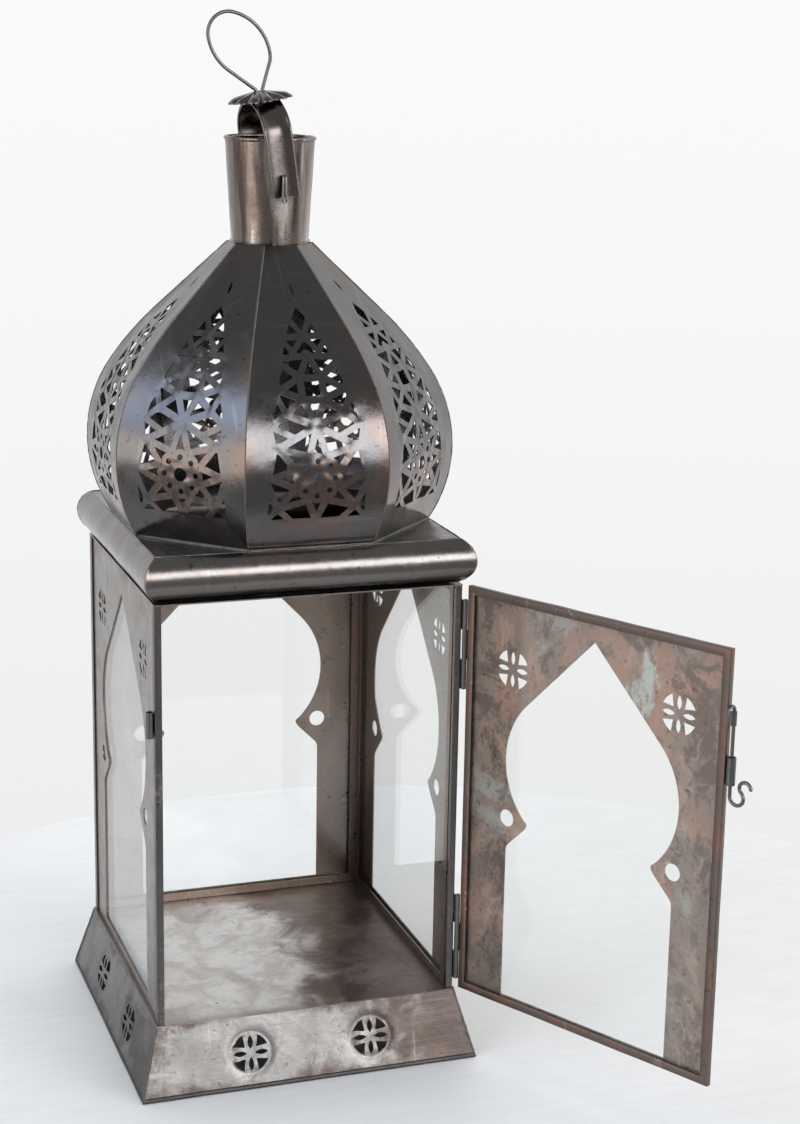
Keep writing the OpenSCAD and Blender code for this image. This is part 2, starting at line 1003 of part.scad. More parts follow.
base_hem();
skirt_front();
skirt_right();
skirt_back();
skirt_left();
floor_plate();
post_front_left();
post_front_right();
post_back_right();
post_back_left();
wall_right();
wall_back();
wall_left();
glass_right();
glass_back();
glass_left();
bead_right();
bead_back();
bead_left();
head_ring();
cornice_front();
cornice_right();
cornice_back();
cornice_left();
top_plate();
dome_panel_1();
dome_panel_2();
dome_panel_3();
dome_panel_4();
dome_panel_5();
dome_panel_6();
dome_panel_7();
dome_panel_8();
chimney();
chimney_rim();
bail_pin_front();
bail_pin_back();
hinge_leaf_upper();
hinge_leaf_lower();
hinge_pin_upper();
hinge_pin_lower();
latch_keeper();
door_rail_top();
door_rail_bottom();
door_stile_hinge();
door_stile_latch();
door_panel();
door_glass();
door_knuckle_upper();
door_knuckle_lower();
hook_guide();
latch_hook();
latch_collar();
bail_strap();
petal_cap();
hanging_ring();
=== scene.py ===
"""Looks of the square glazed lantern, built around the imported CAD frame.

Shapes are worked out in millimetres in the row frame and written in metres.
"""

import json
from math import (
    acos, asin, atan, atan2, ceil, cos, degrees, hypot, pi, radians, sin, sqrt, tan,
)

import bmesh
import bpy
from mathutils import Matrix, Vector, noise
from mathutils.geometry import delaunay_2d_cdt


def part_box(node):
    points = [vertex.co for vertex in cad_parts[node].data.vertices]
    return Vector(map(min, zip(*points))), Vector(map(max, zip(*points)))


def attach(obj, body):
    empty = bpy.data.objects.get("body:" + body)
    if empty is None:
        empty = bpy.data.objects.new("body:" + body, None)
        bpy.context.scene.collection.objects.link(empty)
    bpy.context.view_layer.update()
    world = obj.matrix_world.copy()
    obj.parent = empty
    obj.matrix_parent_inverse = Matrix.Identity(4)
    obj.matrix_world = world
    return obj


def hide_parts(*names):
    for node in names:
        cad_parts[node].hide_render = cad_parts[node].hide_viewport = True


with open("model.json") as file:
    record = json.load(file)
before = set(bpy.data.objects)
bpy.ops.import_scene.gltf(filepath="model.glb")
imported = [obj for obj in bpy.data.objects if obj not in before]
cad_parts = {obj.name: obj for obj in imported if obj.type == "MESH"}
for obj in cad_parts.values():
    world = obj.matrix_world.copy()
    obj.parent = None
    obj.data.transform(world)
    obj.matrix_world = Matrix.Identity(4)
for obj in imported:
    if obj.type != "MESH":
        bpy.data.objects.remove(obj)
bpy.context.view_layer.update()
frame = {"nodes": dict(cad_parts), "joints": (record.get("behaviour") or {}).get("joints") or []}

MM = 0.001
TAU = 2 * pi
SHEET = 0.8


# -------- frame data

def box(node):
    """A CAD node's corners in millimetres."""
    lo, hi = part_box(node)
    return Vector(lo) / MM, Vector(hi) / MM


def joint(name):
    return next(j for j in frame["joints"] if j["name"] == name)


half = box("post_front_right")[1].x
floor_z = box("floor_plate")[1].z
head_z = box("head_ring")[1].z
skirt_bottom = box("base_hem")[1].x
skirt_top = box("floor_plate")[1].x
skirt_height = box("floor_plate")[0].z
plate_top = box("top_plate")[1].z
plate_half = box("top_plate")[1].x
dome_low = box("dome_panel_1")[0].z
dome_high = box("dome_panel_1")[1].z
chimney_low, chimney_high = box("chimney")[0].z, box("chimney")[1].z
rim_lo, rim_hi = box("chimney_rim")

hinge = Vector(joint("door_hinge")["pos_m"]) / MM
door_angle = -joint("door_hinge")["range_deg"][0]
hook_lift = -joint("latch_slide")["range_m"][0] / MM
pivot = Vector(joint("bail_swing")["pos_m"]) / MM
swivel = Vector(joint("ring_swivel")["axis"])
bail_lean = atan2(swivel.x, swivel.z)

door_back, door_depth = -half - 0.3, 4.5
LATCH_X = -half - 2.7
HOOK_Y = door_back - door_depth + 2.25
KEEPER_Y = HOOK_Y + 5.65

door_place = (
    Matrix.Translation((hinge.x * MM, hinge.y * MM, 0))
    @ Matrix.Rotation(radians(door_angle), 4, "Z")
    @ Matrix.Translation((-hinge.x * MM, -hinge.y * MM, 0))
)
bail_place = Matrix.Translation(pivot * MM) @ Matrix.Rotation(bail_lean, 4, "Y")

# Where the shapes of each moving body are placed at rest.
PLACES = {"door": door_place, "bail": bail_place, "ring": bail_place,
          "latch_bolt": door_place @ Matrix.Translation((LATCH_X * MM, HOOK_Y * MM, hook_lift * MM))}


# -------- materials

class Graph:
    """A thin helper for writing node trees as expressions."""

    def __init__(self, tree):
        self.nodes, self.links = tree.nodes, tree.links
        self.nodes.clear()

    def node(self, kind, sockets=(), **values):
        """A new node. sockets gives its first inputs in order, or inputs by name or number."""
        n = self.nodes.new(kind)
        for key, value in values.items():
            setattr(n, key, value)
        for key, value in sockets.items() if isinstance(sockets, dict) else enumerate(sockets):
            self.plug(n.inputs[key], value)
        return n

    def plug(self, socket, value):
        if value is None:
            return
        if isinstance(value, bpy.types.NodeSocket):
            self.links.new(value, socket)
        elif isinstance(value, (tuple, list)) and len(value) == 3 and socket.type == "RGBA":
            socket.default_value = (*value, 1)
        else:
            socket.default_value = value

    def math(self, op, a, b=None, c=None, clamp=False):
        return self.node("ShaderNodeMath", (a, b, c), operation=op, use_clamp=clamp).outputs[0]

    def total(self, a, a_weight, b, b_weight):
        """a and b added up by their weights."""
        return self.math("MULTIPLY_ADD", a, a_weight, self.math("MULTIPLY", b, b_weight))

    def spread(self, value, low, high, to_low=0.0, to_high=1.0):
        sockets = (value, low, high, to_low, to_high)
        return self.node("ShaderNodeMapRange", sockets, interpolation_type="SMOOTHSTEP").outputs[0]

    def axes(self, vector):
        return self.node("ShaderNodeSeparateXYZ", (vector,)).outputs

    def mix(self, factor, a, b):
        return self.node("ShaderNodeMix", {0: factor, 6: a, 7: b}, data_type="RGBA").outputs[2]

    def over(self, colour, mask, cover, tone):
        """The colour with a tone laid over it where the mask is."""
        return self.mix(self.math("MULTIPLY", mask, cover), colour, tone)

    def noise(self, vector, scale, detail=4, rough=0.55, warp=0.0):
        sockets = {"Vector": vector, "Scale": scale, "Detail": detail, "Roughness": rough,
                   "Distortion": warp}
        return self.node("ShaderNodeTexNoise", sockets).outputs[0]

    def stretch(self, vector, scale, turn=(0, 0, 0)):
        sockets = {"Vector": vector, "Scale": scale, "Rotation": turn}
        return self.node("ShaderNodeMapping", sockets).outputs[0]

    def outwardness(self):
        """Distance from the origin along the surface normal, in metres: negative on inner faces."""
        surface = self.node("ShaderNodeNewGeometry").outputs
        sockets = (surface["Position"], surface["Normal"])
        return self.node("ShaderNodeVectorMath", sockets, operation="DOT_PRODUCT").outputs["Value"]

    def attribute(self, name):
        return self.node("ShaderNodeAttribute", attribute_name=name).outputs["Fac"]

    def bump(self, height, strength, distance, normal=None):
        sockets = {"Strength": strength, "Distance": distance, "Height": height, "Normal": normal}
        return self.node("ShaderNodeBump", sockets).outputs[0]


def new_material(name):
    """A material, its graph and the object coordinates its patterns are laid in."""
    m = bpy.data.materials.new(name)
    m.use_nodes = True
    g = Graph(m.node_tree)
    return m, g, g.node("ShaderNodeTexCoord").outputs["Object"]


def finish_surface(g, **values):
    sockets = {key.replace("_", " "): value for key, value in values.items()}
    shader = g.node("ShaderNodeBsdfPrincipled", sockets)
    g.node("ShaderNodeOutputMaterial", {"Surface": shader.outputs[0]})


def metal(name, dark, warm, pale, warmth=0.5, stain=0.0, gloss=(0.2, 0.42), grain=1.0,
          brush=None, brush_pale=0.4, scratch=0.3, coat=0.1, pale_at=0.64, painted_reflection_streaks=None,
          inside=None):
    """Blackened sheet: a dark base with warm heat tints, pale rubs, specks, grain and scratches.

    The vertex attribute "rim" is 1 along soldered borders, where the metal is browner. On the skirt it
    also rises towards the right of every panel: painted shade, each panel darker to its right. Faces
    turned to the lantern's axis take the tone of inside.
    """
    material, g, here = new_material(name)
    clouds = g.noise(here, 17, 5, 0.6, 0.6)
    patches = g.noise(here, 60, 6, 0.65, 0.3)
    fine = g.noise(here, 420, 5, 0.6)
    dust = g.noise(here, 1900, 3, 0.6)
    tint = g.total(patches, 0.55, clouds, 0.75)
    tint = g.math("MULTIPLY_ADD", g.attribute("rim"), 0.28, tint)
    colour = g.mix(g.spread(tint, 0.92 - 0.5 * warmth, 1.12 - 0.36 * warmth), dark, warm)
    if inside:
        inward = g.spread(g.outwardness(), -0.06, -0.03, 1.0, 0.0)
        inward = g.math("MULTIPLY", inward, g.spread(patches, 0.36, 0.6, 0.35, 0.95))
        colour = g.mix(inward, colour, inside)
    rub = g.spread(g.total(fine, 0.35, clouds, 0.65), pale_at - 0.08, pale_at + 0.08)
    colour = g.over(colour, rub, 0.6, pale)
    specks = g.spread(g.noise(here, 260, 2, 0.5), 0.66, 0.72)
    colour = g.over(colour, specks, 0.5, (0.03, 0.022, 0.019))
    roughness = g.spread(g.total(patches, 0.6, fine, 0.4), 0.3, 0.7, *gloss)
    metallic = 1.0
    if stain:
        crust = g.total(fine, 0.4, g.noise(here, 33, 6, 0.7, 1.2), 0.7)
        crust = g.spread(crust, 0.70 - 0.06 * stain, 0.76 - 0.04 * stain)
        colour = g.over(colour, crust, 0.75, (0.36, 0.39, 0.37))
        roughness = g.math("MAXIMUM", roughness, g.math("MULTIPLY", crust, 0.8))
        metallic = g.math("MULTIPLY_ADD", crust, -0.8, 1.0)
    normal = g.bump(g.total(fine, 0.5, dust, 0.5), 0.16 * grain, 0.0004)
    normal = g.bump(patches, 0.3 * grain, 0.0008, normal)
    if brush:
        lines = g.noise(g.stretch(here, brush), 30, 4, 0.7)
        normal = g.bump(lines, 0.22, 0.0003, normal)
        roughness = g.math("MULTIPLY_ADD", lines, 0.3, g.math("SUBTRACT", roughness, 0.1), clamp=True)
        colour = g.mix(g.spread(lines, 0.4, 0.75, 0, brush_pale), colour, pale)
    if scratch:
        for turn, scale in (((0.3, 0.5, 0.9), (9, 260, 14)), ((1.2, 0.2, 2.1), (240, 8, 12))):
            mark = g.spread(g.noise(g.stretch(here, scale, turn), 1.0, 3, 0.5), 0.665, 0.7)
            colour = g.over(colour, mark, scratch, pale)
            normal = g.bump(mark, -0.12 * scratch, 0.0003, normal)
    # Pale and dark vertical bands painted into the colour: painted reflection highlights and painted
    # dark reflections, as on the chimney.
    if painted_reflection_streaks:
        painted_reflection_bands = g.noise(g.stretch(here, painted_reflection_streaks, (0, 0, -1.1)), 62, 3, 0.6, 0.15)
        colour = g.mix(g.spread(painted_reflection_bands, 0.38, 0.47, 0.85, 0.0), colour, (0.06, 0.042, 0.036))
        colour = g.mix(g.spread(painted_reflection_bands, 0.51, 0.60, 0.0, 0.85), colour, pale)
    finish_surface(g, Base_Color=colour, Metallic=metallic, Roughness=roughness, Normal=normal,
                   Coat_Weight=coat, Coat_Roughness=0.12)
    return material


def patina(name):
    """Heat-marked door sheet: brown with copper and dark clouds, grey-green bloom and pale residue."""
    material, g, here = new_material(name)
    fine = g.noise(here, 380, 5, 0.65)
    grit = g.noise(here, 1500, 3, 0.6)
    colour = (0.270, 0.210, 0.182)
    roughness = g.spread(fine, 0.3, 0.7, 0.42, 0.62)
    metallic = 0.9
    clouds = (
        # scale, warp, from, to, colour, cover, matt
        (19, 0.7, 0.48, 0.59, (0.395, 0.225, 0.163), 0.80, 0.1),
        (27, 0.8, 0.51, 0.59, (0.120, 0.085, 0.072), 0.85, 0.1),
        (15, 0.5, 0.54, 0.60, (0.340, 0.335, 0.305), 0.75, 0.4),
        (52, 0.6, 0.54, 0.61, (0.440, 0.300, 0.235), 0.60, 0.1),
        (80, 0.5, 0.55, 0.62, (0.130, 0.100, 0.088), 0.60, 0.1),
    )
    for scale, warp, start, end, tone, cover, matt in clouds:
        cloud = g.noise(g.stretch(here, (1, 1, 0.7), (0.1 * scale, 0, 0)), scale, 10, 0.68, warp)
        mask = g.spread(g.math("MULTIPLY_ADD", fine, 0.22, g.math("SUBTRACT", cloud, 0.11)), start, end)
        colour = g.over(colour, mask, cover, tone)
        metallic = g.math("MULTIPLY_ADD", mask, -matt, metallic, clamp=True)
    residue = g.noise(g.stretch(here, (1, 1, 0.45), (0, 0, 1)), 17, 9, 0.7, 0.8)
    residue = g.spread(g.math("MULTIPLY_ADD", grit, 0.12, residue), 0.68, 0.72)
    colour = g.over(colour, residue, 0.85, (0.44, 0.47, 0.44))
    metallic = g.math("MULTIPLY_ADD", residue, -0.8, metallic, clamp=True)
    roughness = g.math("MULTIPLY_ADD", residue, 0.25, roughness, clamp=True)
    colour = g.over(colour, g.attribute("rim"), 0.35, (0.12, 0.075, 0.06))
    specks = g.spread(g.noise(here, 240, 2, 0.5), 0.66, 0.72)
    colour = g.over(colour, specks, 0.6, (0.05, 0.035, 0.03))
    normal = g.bump(g.math("ADD", fine, grit), 0.2, 0.0004)
    finish_surface(g, Base_Color=colour, Metallic=metallic, Roughness=roughness, Normal=normal)
    return material


def candle_floor(name):
    """Floor plate: pale around the middle left, a painted reflection of the bright wall behind, and
    darker brown to the right, with creases darkened as painted shade.
    """
    material, g, here = new_material(name)
    broad = g.noise(here, 13, 6, 0.6, 1.0)
    patches = g.noise(here, 55, 6, 0.65, 0.6)
    fine = g.noise(here, 420, 5, 0.6)
    # Pale on the middle left, darker brown towards the right: the pale stands in for the reflection of
    # the bright wall behind, a painted reflection.
    across = g.math("MULTIPLY_ADD", g.math("SUBTRACT", broad, 0.5), 0.16, g.axes(here)[0])
    colour = g.mix(g.spread(patches, 0.36, 0.62), (0.42, 0.385, 0.365), (0.66, 0.645, 0.63))
    colour = g.mix(g.spread(broad, 0.48, 0.62, 0.0, 0.6), colour, (0.30, 0.24, 0.22))
    brown = g.mix(g.spread(patches, 0.4, 0.65), (0.115, 0.082, 0.07), (0.20, 0.155, 0.135))
    colour = g.mix(g.spread(across, 0.0, 0.036), colour, brown)
    colour = g.over(colour, g.attribute("rim"), 0.6, (0.10, 0.07, 0.06))
    # Dark lines painted along the creases: painted shade in the creases, with a small bump.
    crease = g.math("ABSOLUTE", g.math("SUBTRACT", g.noise(here, 24, 4, 0.5, 1.4), 0.5))
    crease = g.math("MULTIPLY", g.spread(crease, 0.008, 0.0),
                    g.spread(g.noise(here, 11, 2, 0.5), 0.5, 0.6))
    colour = g.over(colour, crease, 0.7, (0.07, 0.05, 0.045))
    roughness = g.spread(g.total(fine, 0.4, patches, 0.6), 0.3, 0.7, 0.26, 0.48)
    normal = g.bump(fine, 0.12, 0.0004)
    normal = g.bump(patches, 0.35, 0.0012, normal)
    normal = g.bump(crease, -0.3, 0.0006, normal)
    finish_surface(g, Base_Color=colour, Metallic=0.85, Roughness=roughness, Normal=normal)
    return material


def clear_glass(name, mirror_weight, film_weight, film_least):
    """Window glass: nearly all light goes straight through, with Fresnel reflections and faint dust."""
    material, g, here = new_material(name)
    film = g.spread(g.noise(here, 14, 5, 0.65, 0.8), 0.45, 0.8)
    specks = g.spread(g.noise(here, 900, 2, 0.5), 0.71, 0.75)
    wobble = g.bump(g.noise(here, 9, 2, 0.5), 0.08, 0.002)
    through = g.node("ShaderNodeBsdfTransparent", ((0.985, 0.992, 0.99),))
    mirror = g.node("ShaderNodeBsdfGlossy", {"Roughness": 0.02, "Normal": wobble})
    haze = g.node("ShaderNodeBsdfDiffuse", ((0.8, 0.82, 0.82),))
    leaving = g.node("ShaderNodeNewGeometry").outputs["Backfacing"]
    index = g.math("MULTIPLY_ADD", leaving, 1 / 1.5 - 1.5, 1.5)
    fresnel = g.node("ShaderNodeFresnel", {0: index, "Normal": wobble}).outputs[0]
    shine = g.math("MULTIPLY", fresnel, mirror_weight, clamp=True)
    clean = g.node("ShaderNodeMixShader", (shine, through.outputs[0], mirror.outputs[0]))
    dirt = g.math("MULTIPLY_ADD", specks, 0.06, g.math("MULTIPLY_ADD", film, film_weight, film_least))
    dusty = g.node("ShaderNodeMixShader", (dirt, clean.outputs[0], haze.outputs[0]))
    g.node("ShaderNodeOutputMaterial", {"Surface": dusty.outputs[0]})
    return material


DARK = (0.092, 0.086, 0.083)
PALE = (0.30, 0.29, 0.28)

MAT = {
    "dome": metal("dome_sheet", (0.094, 0.091, 0.094), (0.122, 0.092, 0.081), PALE,
                  warmth=0.42, gloss=(0.14, 0.28), scratch=0.1, pale_at=0.74),
    "cornice": metal("cornice_sheet", (0.150, 0.139, 0.133), (0.180, 0.134, 0.116), PALE,
                     warmth=0.5, gloss=(0.15, 0.28), scratch=0.2, pale_at=0.72),
    "skirt": metal("brushed_skirt", (0.165, 0.159, 0.155), (0.064, 0.047, 0.040), (0.30, 0.295, 0.29),
                   warmth=0.35, gloss=(0.26, 0.46), scratch=0.3, pale_at=0.62, brush=(0.6, 0.6, 34),
                   brush_pale=0.16),
    "hem": metal("hem_fold", (0.042, 0.038, 0.036), (0.06, 0.045, 0.04), (0.15, 0.14, 0.13),
                 warmth=0.4, gloss=(0.35, 0.55), scratch=0.2),
    "plate": metal("worn_plate", (0.19, 0.18, 0.17), (0.12, 0.085, 0.07), (0.4, 0.38, 0.36),
                   warmth=0.35, gloss=(0.22, 0.46), scratch=0.5, pale_at=0.55),
    "floor": candle_floor("mottled_floor"),
    "wall": metal("wall_sheet", (0.205, 0.190, 0.180), (0.165, 0.118, 0.100), (0.38, 0.37, 0.36),
                  warmth=0.5, gloss=(0.24, 0.42), scratch=0.25, inside=(0.25, 0.178, 0.138)),
    "post": metal("post_sheet", DARK, (0.115, 0.075, 0.062), PALE,
                  warmth=0.4, gloss=(0.24, 0.45), scratch=0.25, inside=(0.145, 0.10, 0.08)),
    "door": patina("door_sheet"),
    "channel": metal("door_channel", (0.118, 0.105, 0.094), (0.185, 0.100, 0.080), (0.26, 0.26, 0.25),
                     warmth=0.85, stain=0.35, gloss=(0.3, 0.5), grain=1.3),
    # The chimney's streaks are painted reflections: pale highlight bands and dark bands.
    "chimney": metal("chimney_sheet", (0.150, 0.122, 0.110), (0.18, 0.118, 0.098), (0.42, 0.39, 0.37),
                     warmth=0.55, gloss=(0.15, 0.28), scratch=0.1, brush=(1, 1, 0.05),
                     painted_reflection_streaks=(1, 1, 0.06)),
    "solder": metal("solder_bead", (0.155, 0.158, 0.150), (0.12, 0.10, 0.085), (0.34, 0.35, 0.34),
                    warmth=0.35, gloss=(0.22, 0.42), grain=1.6, scratch=0, coat=0.0),
    "wire": metal("grey_wire", (0.125, 0.122, 0.125), (0.13, 0.10, 0.088), (0.26, 0.26, 0.26),
                  warmth=0.3, gloss=(0.28, 0.42), scratch=0.0, grain=0.25),
    "strap": metal("bail_sheet", (0.115, 0.10, 0.095), (0.16, 0.10, 0.085), PALE,
                   warmth=0.5, gloss=(0.14, 0.3), scratch=0.2),
}
GLASS = clear_glass("window_glass", 0.9, 0.012, 0.0)
DUSTY_GLASS = clear_glass("dusty_glass", 1.2, 0.12, 0.06)


# -------- mesh tools

def wave(p, size, amount, seed=0.0):
    """Smooth unevenness of hand-worked metal, the same on every run."""
    q = Vector((p[0] / size + seed, p[1] / size - seed, p[2] / size + 2 * seed))
    return noise.noise(q) * amount


def piece(name, verts, faces, look, body="lantern_body", replaces=(), place=None,
          rim=None, sharp=35, finish=None):
    """One visual object that rides a body. finish is not used."""
    mesh = bpy.data.meshes.new(name)
    mesh.from_pydata([Vector(v) * MM for v in verts], [], faces)
    mesh.validate()
    if rim is not None:
        layer = mesh.attributes.new("rim", "FLOAT", "POINT")
        layer.data.foreach_set("value", rim)
    work = bmesh.new()
    work.from_mesh(mesh)
    bmesh.ops.recalc_face_normals(work, faces=work.faces)
    work.to_mesh(mesh)
    work.free()
    if place or body in PLACES:
        mesh.transform(place or PLACES[body])
    mesh.shade_smooth()
    mesh.set_sharp_from_angle(angle=radians(sharp))
    mesh.materials.append(MAT[look])
    made = bpy.data.objects.new(name, mesh)
    bpy.context.scene.collection.objects.link(made)
    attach(made, body)
    if replaces:
        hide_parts(*replaces)
    return made


class Mesh:
    """Collects lofted parts so that one piece can hold several."""

    def __init__(self):
        self.verts, self.faces = [], []

    def loft(self, rings, wrap=False):
        """Closed rings of equal length, skinned one to the next."""
        base, n, m = len(self.verts), len(rings[0]), len(rings)
        for ring in rings:
            self.verts.extend(Vector(p) for p in ring)
        for i in range(m if wrap else m - 1):
            for j in range(n):
                a, b = base + i * n + j, base + i * n + (j + 1) % n
                c, d = base + (i + 1) % m * n + (j + 1) % n, base + (i + 1) % m * n + j
                self.faces.append((a, b, c, d))
        if not wrap:
            self.faces.append(tuple(base + j for j in range(n))[::-1])
            self.faces.append(tuple(base + (m - 1) * n + j for j in range(n)))
        return self

    def tube(self, path, radius, sides=12, wrap=False, wobble=0.0):
        """Round wire along a path, its free ends domed."""
        path = [Vector(p) for p in path]
        n = len(path)
        rings, side = [], None
        for i, p in enumerate(path):
            before = path[i - 1] if i or wrap else p
            after = path[(i + 1) % n] if i < n - 1 or wrap else p
            way = (after - before).normalized()
            if side is None:
                side = way.orthogonal().normalized()
            side = (side - way * side.dot(way)).normalized()
            r = radius * (1 + wave(p, 3 * radius, wobble, 5.0))
            rings.append((p, way, side, way.cross(side), r))
        dome = [] if wrap else [(lift, sqrt(1 - lift * lift)) for lift in (0.95, 0.7, 0.35)]
        stations = [(rings[0], -lift, scale) for lift, scale in dome]
        stations += [(ring, 0, 1) for ring in rings]
        stations += [(rings[-1], lift, scale) for lift, scale in reversed(dome)]
        turns = [polar(1, TAU * j / sides) for j in range(sides)]
        return self.loft([
            [p + way * r * lift + (side * c + up * s) * r * scale for c, s in turns]
            for (p, way, side, up, r), lift, scale in stations
        ], wrap=wrap)

    def turned(self, how):
        self.verts = [how @ v for v in self.verts]
        return self

    def add(self, other):
        base = len(self.verts)
        self.verts.extend(other.verts)
        self.faces.extend(tuple(base + i for i in f) for f in other.faces)
        return self

    def make(self, name, look, **how):
        return piece(name, self.verts, self.faces, look, **how)


def polar(r, a, *z):
    """The point at radius r and angle a in radians, at height z where one is given."""
    return (r * cos(a), r * sin(a), *z)


def arc(centre, r, start, end, steps):
    """Points on an arc in the plane, in degrees."""
    points = [polar(r, radians(start + (end - start) * i / steps)) for i in range(steps + 1)]
    return [(centre[0] + x, centre[1] + y) for x, y in points]


def spun(points, turn, centre=(0, 0)):
    """Points turned about the origin by turn degrees and moved to centre."""
    c, s = cos(radians(turn)), sin(radians(turn))
    return [(centre[0] + c * x - s * y, centre[1] + s * x + c * y) for x, y in points]


def round_loop(r, z, count):
    """A level circle of count points about the vertical axis."""
    return [polar(r, TAU * i / count, z) for i in range(count)]


def lathe(profile, sides, dent):
    """A closed profile of (r, z) turned about the vertical axis; dent(r, angle, z) moves it outwards."""
    rings = []
    for j in range(sides):
        a = TAU * j / sides
        rings.append([polar(r + dent(r, a, z), a, z) for r, z in profile])
    return Mesh().loft(rings, wrap=True)


def rectangle(width, low, high):
    """width to either side of the middle."""
    return [(-width, low), (width, low), (width, high), (-width, high)]


def quarter_turn(k):
    return Matrix.Rotation(radians(90 * k), 4, "Z")


def inside(p, loop):
    hit, x, y = False, p[0], p[1]
    for i in range(len(loop)):
        (x1, y1), (x2, y2) = loop[i - 1], loop[i]
        if (y1 > y) != (y2 > y) and x < (x2 - x1) * (y - y1) / (y2 - y1) + x1:
            hit = not hit
    return hit


def divide(loop, step):
    """The loop with no edge longer than step."""
    made = []
    for i in range(len(loop)):
        a, b = Vector(loop[i - 1]), Vector(loop[i])
        count = max(1, ceil((b - a).length / step))
        made.extend(a.lerp(b, k / count) for k in range(count))
    return made


def cut_flat(outline, openings, step, detail=3.0, guides=(), is_metal=None):
    """Points and triangles of a flat sheet with openings, its edge cut by step and the rest by detail.

    guides only add lines to the mesh. is_metal(point), where given, says what is left standing.
    """
    if is_metal is None:
        def is_metal(p):
            return not any(inside(p, opening) for opening in openings)
    points, edges = [], []
    for k, loop in enumerate([outline, *openings, *guides]):
        fine = divide(loop, step if k == 0 else detail)
        base = len(points)
        points.extend(fine)
        edges.extend((base + i, base + (i + 1) % len(fine)) for i in range(len(fine)))
    low = Vector([min(p[i] for p in outline) for i in (0, 1)])
    high = Vector([max(p[i] for p in outline) for i in (0, 1)])
    wide, tall = high.x - low.x, high.y - low.y
    across, up = ceil(wide / step), ceil(tall / step)
    for i in range(1, across):
        for j in range(1, up):
            shift = 0.25 if j % 2 else -0.25
            p = Vector((low.x + (i + shift) * wide / across, low.y + j * tall / up))
            if inside(p, outline):
                points.append(p)
    flat, _, tris, _, _, _ = delaunay_2d_cdt(points, edges, [], 0, 1e-4)
    kept = []
    for t in tris:
        a, b, c = (flat[i] for i in t)
        middle = (a + b + c) / 3
        sliver = abs((b - a).cross(c - a)) < 1e-5
        if not sliver and inside(middle, outline) and is_metal(middle):
            kept.append(tuple(t))
    used = sorted({i for t in kept for i in t})
    index = {old: new for new, old in enumerate(used)}
    return [flat[i] for i in used], [tuple(index[i] for i in t) for t in kept]


def sheet(name, cut, surface, look, thickness=SHEET, rim=None, turn=Matrix(), **how):
    """A piece of cut sheet: two skins and the cut walls between them, turned into place.

    surface(u, v) gives the outer skin's point and normal, and rim(u, v) its border tint.
    """
    flat, tris = cut
    n = len(flat)
    skin = [surface(u, v) for u, v in flat]
    verts = [p for p, _ in skin] + [p - normal * thickness for p, normal in skin]
    faces = list(tris) + [tuple(n + i for i in reversed(t)) for t in tris]
    edges = dict.fromkeys((t[i], t[(i + 1) % 3]) for t in tris for i in range(3))
    faces += [(b, a, n + a, n + b) for a, b in edges if (b, a) not in edges]
    shade = [rim(u, v) for u, v in flat] * 2 if rim else None
    piece(name, [turn @ p for p in verts], faces, look, rim=shade, **how)


def corner_seams(name, points, radius):
    """A solder line down each corner of a square part; points are (distance along both axes, z)."""
    seams = Mesh()
    for k in range(4):
        seams.tube([quarter_turn(k) @ Vector((x, x, z)) for x, z in points], radius, 8, wobble=0.5)
    seams.make(name, "solder")


# -------- outlines

def almond(centre, length, width, turn, steps=6):
    """A pointed oval, its length along turn degrees from the upright."""
    r = (length * length + width * width) / (4 * width)
    swing = degrees(asin(length / 2 / r))
    loop = arc((-(r - width / 2), 0), r, -swing, swing, steps)
    loop += arc((r - width / 2, 0), r, 180 - swing, 180 + swing, steps)[1:-1]
    return spun(loop, turn, centre)


def rosette(centre, r):
    """Four almonds on the axes and a rounded triangle in each quarter."""
    loops = []
    for turn in (0, 90, 180, 270):
        petal = spun([(0, 0.57 * r)], turn, centre)[0]
        loops.append(almond(petal, 0.72 * r, 0.28 * r, turn))
        loops.append(spun([(0.3 * r, 0.3 * r)] + arc((0, 0), r, 23, 67, 7), turn, centre))
    return loops


ARCH = dict(apex=262, bulge=(13.5, 170.5), r=54.5, leg=66, cusp=(50, 130), leg_top=110, foot=6.5)
EYE, EYE_R = (65.5, 130), 5.7
WALL_ROSETTE, DOOR_ROSETTE, ROSETTE_REACH = (64.3, 235.4), (64.3, 230.6), 13


def arch_half():
    """The arch's right side from the foot to the apex, x from the middle and y above the floor."""
    bx, bz = ARCH["bulge"]
    reach = hypot(bx, ARCH["apex"] - bz)
    top = 90 + degrees(atan(bx / (ARCH["apex"] - bz)) - acos(ARCH["r"] / reach))
    cx, cz = ARCH["cusp"]
    low = degrees(asin((cz + 1.2 - bz) / ARCH["r"]))
    leg, leg_top = ARCH["leg"], ARCH["leg_top"]
    side = [(leg, ARCH["foot"]), (leg, leg_top - 2.4)]
    side += [(leg - 0.4, leg_top + 0.2), (leg - 1.7, leg_top + 2.2)]
    side += [(cx + 1.6, cz - 5.2), (cx, cz - 3.2), (cx - 0.7, cz - 1.4), (cx - 0.3, cz + 0.4)]
    return side + arc((bx, bz), ARCH["r"], low, top, 30)


def arch_loops(rosette_at):
    """Every opening of a wall or the door: the arch, two cusp eyes and two rosettes."""
    right = arch_half()
    loops = [right + [(0, ARCH["apex"])] + [(-x, y) for x, y in reversed(right)]]
    for side in (-1, 1):
        loops.append(arc((side * EYE[0], EYE[1]), EYE_R, 0, 345, 23))
        loops += rosette((side * rosette_at[0], rosette_at[1]), ROSETTE_REACH)
    return loops


def border_tint(x, y, width, height, reach):
    """1 at the border of a width by height sheet, falling to 0 inside by reach."""
    d = min(width - abs(x), y, height - y)
    return max(0.0, 1 - max(d, 0.0) / reach)


# -------- base

